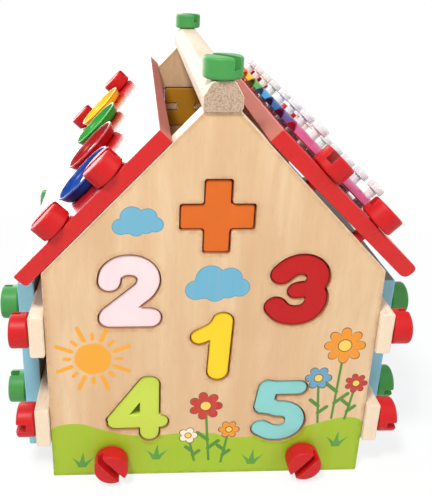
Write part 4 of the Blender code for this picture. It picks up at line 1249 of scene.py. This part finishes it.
DISH_DOWN, DISH_PITCH, DISH_HOLE, DISH_FLOOR = 0.054, 0.056, 0.0030, 0.0014
DISHES = {"blue": "dark_blue", "red": "red", "green": "leaf_green", "yellow": "yellow"}
under = smooth_path([(0.0085, 0), (0.0152, 0), (0.0170, 0.0005), (0.0182, 0.0018), (0.0195, 0.0054)])
lip = arc(0.0192, 0.0058, 0.0008, 0, 180, 6)
bowl = smooth_path([(0.0186, 0.0056), (0.0178, 0.0034), (0.0162, 0.0021), (0.0132, 0.0015),
                    (0.0085, DISH_FLOOR)])
dish_outline = [(DISH_HOLE, 0)] + under + lip + bowl + [(DISH_HOLE, DISH_FLOOR), (DISH_HOLE, 0)]
for number, (name, colour) in enumerate(DISHES.items()):
    place = spot(roof_frame(-1), DISH_DOWN, (number - 1.5) * DISH_PITCH, GAP)
    mesh = run_tree(turn_tree, profile_mesh(dish_outline), place, Segments=64, Finish=DISH_PLASTIC[colour])
    finish_piece(name + "_dish", mesh, DISH_PLASTIC[colour], colour + "_dish", "dish_" + name,
                 body="dish_" + name, smooth=50)
print(len(DISHES), "dishes of", len(dish_outline), "profile points")

# %% [markdown]
# ## Rows of pins
# Sixteen milky pins hold the xylophone's keys and four hold the dishes. This
# tree turns one pin and sets copies of it at points in rows. The rows of the
# keys spread apart along the house, because each key is a little longer than
# the last, so a point's place is worked out from its number.

# %% Pin tree
pin_tree, pin_in, pin_out = new_tree(
    "Pins in rows", "Geometry",
    {"Profile": "Geometry", "Segments": 24, "Finish": "Material", "Count": 8, "Rows": 2, "Pitch": 0.0266,
     "Place": 0.0485, "Half": 0.0244, "Step": 0.0008}, SOLID)
number, rows, pitch, middle, half, step = numbers(
    pin_in, "Count", "Rows", "Pitch", "Place", "Half", "Step")
dots = form(pin_tree, "MeshLine", {"Count": number * rows})
index = Number(form(pin_tree, "InputIndex"))
which = (index / rows + 0.001).work("FLOOR")
way = (index - which * rows) * 2 - 1
spread = vector(pin_tree, middle + way * (half + step * which), (which - (number - 1) / 2) * pitch, 0.0)
placed = form(pin_tree, "SetPosition", {"Geometry": dots, "Position": spread})
end_tree(pin_tree, pin_in, pin_out, form(
    pin_tree, "InstanceOnPoints", {"Points": placed, "Instance": turned_piece(pin_tree, pin_in)}))

# The keys' place down the roof, their pitch, half the first one's length, how
# much that half grows with each key, and the pins' place as a share of it
KEY_DOWN, KEY_PITCH, KEY_HALF, KEY_STEP, PIN_SHARE = 0.0485, 0.0265714, 0.037, 0.0012, 0.66
pin_outline = ([(0, -0.0004), (0.0034, -0.0004), (0.0034, 0.0050), (0.0026, 0.0050), (0.0026, 0.0117),
                (0.0046, 0.0117), (0.0049, 0.0119), (0.0050, 0.0123)]
               + arc(0.0036, 0.0143, 0.0014, -8, 86, 5) + [(0.0020, 0.01568), (0, 0.0157)])
post_outline = ([(0, -0.0004), (0.0024, -0.0004), (0.0024, 0.0020), (0.0050, 0.0020), (0.0052, 0.0023)]
                + arc(0.0038, 0.0026, 0.0014, 0, 80, 4) + [(0, 0.0041)])
PIN_ROWS = {
    "xylophone_pins": (1, pin_outline, {
        "Segments": 24, "Count": 8, "Rows": 2, "Pitch": KEY_PITCH, "Place": KEY_DOWN,
        "Half": KEY_HALF * PIN_SHARE, "Step": KEY_STEP * PIN_SHARE}),
    "dish_posts": (-1, post_outline, {
        "Segments": 28, "Count": 4, "Rows": 1, "Pitch": DISH_PITCH, "Place": DISH_DOWN,
        "Half": 0.0, "Step": 0.0}),
}
for name, (side, outline, values) in PIN_ROWS.items():
    mesh = run_tree(pin_tree, profile_mesh(outline), roof_frame(side), Finish=MILKY, **values)
    finish_piece(name, mesh, MILKY, "red_board", SIDES[side] + "_roof")
print("pins and posts placed")

# %% [markdown]
# ## Xylophone keys
# A key is a strip of steel bent into a low arch and enamelled. The tree bends
# a flat grid onto the arch, gives it the thickness of sheet metal, and drills
# two holes for the pins. Only its length changes from key to key, so one tree
# with a length input makes all eight.

# %% Key tree
key_tree, key_in, key_out = new_tree(
    "Arched key", "Geometry",
    {"Seed": "Geometry", "Finish": "Material", "Half Length": 0.037, "Width": 0.020, "Crown": 0.0070,
     "Edge": 0.0026, "Sheet": 0.0013, "Pin Place": 0.0244, "Hole": 0.0031}, SOLID)
half, wide, crown, low, sheet, pin_place, hole = numbers(
    key_in, "Half Length", "Width", "Crown", "Edge", "Sheet", "Pin Place", "Hole")
flat = form(key_tree, "MeshGrid", {"Size X": half * 2, "Size Y": wide, "Vertices X": 21, "Vertices Y": 25})
grid_x, grid_y, _ = position(form(key_tree, "InputPosition"))
rise = crown - low
bend = (wide * wide * 0.25 + rise * rise) / (rise * 2)
lift = (bend * bend - grid_y * grid_y).work("SQRT") + crown - bend
arched = form(key_tree, "SetPosition", {"Geometry": flat, "Position": vector(key_tree, grid_x, grid_y, lift)})


def join(*parts):
    node = place_node(key_tree, "GeometryNodeJoinGeometry")
    for part in parts:
        wire(part, node.inputs[0])
    return node.outputs[0]


def bore(way):
    aside = vector(key_tree, pin_place * way, 0.0, 0.0)
    return form(key_tree, "Transform", {"Geometry": drill, "Translation": aside})


both = join(form(key_tree, "FlipFaces", {"Mesh": arched}),
            form(key_tree, "ExtrudeMesh", {"Mesh": arched, "Offset Scale": -sheet, "Individual": False}))
closed = form(key_tree, "MergeByDistance", {"Geometry": both, "Distance": MERGE})
drill = form(key_tree, "MeshCylinder", {"Vertices": 24, "Radius": hole, "Depth": crown * 4})
end_tree(key_tree, key_in, key_out, cut_out(
    key_tree, form(key_tree, "FlipFaces", {"Mesh": closed}), join(bore(-1.0), bore(1.0))))
print("key tree", len(key_tree.nodes), "nodes")

# %% [markdown]
# ## Making the keys
# The eight keys lie on the right roof like the steps of a scale, the shortest
# in front. Their pins stand at the same share of each length, so the holes
# wander outwards with the rows of pins.

# %% Make the keys
KEY_WIDTH, KEY_CROWN, KEY_EDGE, KEY_SHEET, KEY_HOLE = 0.020, 0.0070, 0.0026, 0.0010, 0.0031
KEYS = {"pink": "pink", "purple": "violet", "dark_blue": "dark_blue", "light_blue": "light_blue",
        "green": "leaf_green", "yellow": "yellow", "orange": "orange", "red": "red"}
for number, (name, colour) in enumerate(KEYS.items()):
    half_length = KEY_HALF + KEY_STEP * number
    mesh = run_tree(key_tree, bpy.data.meshes.new("seed"), Finish=ENAMEL[colour], Half_Length=half_length,
                    Width=KEY_WIDTH, Crown=KEY_CROWN, Edge=KEY_EDGE, Sheet=KEY_SHEET,
                    Pin_Place=half_length * PIN_SHARE, Hole=KEY_HOLE)
    ease_edges(mesh, width=0.00015)
    mesh.transform(spot(roof_frame(1), KEY_DOWN, (number - 3.5) * KEY_PITCH))
    node = "xylophone_key_" + name
    finish_piece(name + "_key", mesh, ENAMEL[colour], colour + "_key", node, body=node)
print(len(KEYS), "keys")

# %% [markdown]
# ## Floor and backdrop
# The house stands on a white sweep in a bright studio. The floor is a plain
# pale sheet that still shows the soft shadow where the toy touches it. What
# the camera and the reflections see behind it is white, while the light that
# falls on the house stays at a level at which paint looks the colour it was
# mixed.

# %% Floor and world
def seen_or_lit(tree, output, lit, shown, strength=1.0):
    # Shows one shader to the camera, in reflections and through clear plastic, and another to all else.
    straight, glossy, through = numbers(place_node(tree, "ShaderNodeLightPath"),
                                        "Is Camera Ray", "Is Glossy Ray", "Is Transmission Ray")
    mix = place_node(tree, "ShaderNodeMixShader", {
        0: straight.max(glossy).max(through) * strength, 1: lit.outputs[0], 2: shown.outputs[0]})
    wire(mix.outputs[0], output.inputs["Surface"])


# Round the house the sheet keeps a share of its own shading, so that its shadow shows
NEAR, FAR, SHADOW_SHARE = 0.18, 0.40, 0.22


def white_ground():
    made, place = start_material("white sweep")
    tree = made.node_tree
    shader = tree.nodes["Principled BSDF"]
    shader.inputs["Base Color"].default_value = (0.92, 0.92, 0.92, 1.0)
    shader.inputs["Roughness"].default_value = 0.9
    shader.inputs["Specular IOR Level"].default_value = 0.1
    away = length(*position(place)[:2])
    seen_or_lit(tree, tree.nodes["Material Output"], shader, place_node(tree, "ShaderNodeEmission"),
                stretch(away, NEAR, FAR) * SHADOW_SHARE + (1 - SHADOW_SHARE))
    return made


FLOOR_SIZE = 3
ground = bpy.data.meshes.new("ground")
ground.from_pydata([(x * FLOOR_SIZE, y * FLOOR_SIZE, 0) for x, y in ((-1, -1), (1, -1), (1, 1), (-1, 1))],
                   [], [(0, 1, 2, 3)])
ground.materials.append(white_ground())
show("floor_sheet", ground)

FILL = 0.42
world = bpy.data.worlds.new("studio")
bpy.context.scene.world = world
world.use_nodes = True
tree = world.node_tree
tree.nodes.clear()
fill, white = (place_node(tree, "ShaderNodeBackground", {"Color": (1.0, 1.0, 1.0, 1.0), "Strength": strength})
               for strength in (FILL, 1.0))
seen_or_lit(tree, place_node(tree, "ShaderNodeOutputWorld"), fill, white)
print("floor sheet and studio ready")

# %% [markdown]
# ## Lamps
# A small lamp hangs high above the front and draws the shadows under the roofs
# and the bolts. A broad one fills from the side, and another stands behind.
# The last, low behind the left roof, is only seen in reflections: it gives
# that roof the white sheen of glossy paint that looks at a window.

# %% Make the lamps
# Place, target, size and power
LAMPS = {
    "front lamp": ((-0.30, -0.56, 1.00), (0, -0.05, 0.12), 0.18, 8.5),
    "side lamp": ((0.9, -0.55, 0.7), (0, 0, 0.12), 0.7, 3.6),
    "rear lamp": ((-0.34, 0.95, 0.50), (0, 0, 0.15), 0.8, 3.0),
    "sheen lamp": ((-0.42, 0.41, 0.345), (-0.10, -0.10, 0.32), 0.72, 5.0),
}
for name, (place, target, size, power) in LAMPS.items():
    lamp = bpy.data.lights.new(name, "AREA")
    lamp.size = size
    lamp.energy = power
    made = show(name, lamp)
    way = Vector(target) - Vector(place)
    made.matrix_world = Matrix.Translation(place) @ way.to_track_quat("-Z", "Y").to_matrix().to_4x4()
    made.visible_camera = False
    made.visible_diffuse = name != "sheen lamp"
bpy.context.scene.view_settings.view_transform = "Standard"
print(len(LAMPS), "lamps")

# %% [markdown]
# ## Last step
# Last, the view layer is brought up to date, so every piece stands where it
# was put.

# %% Update the scene
bpy.context.view_layer.update()
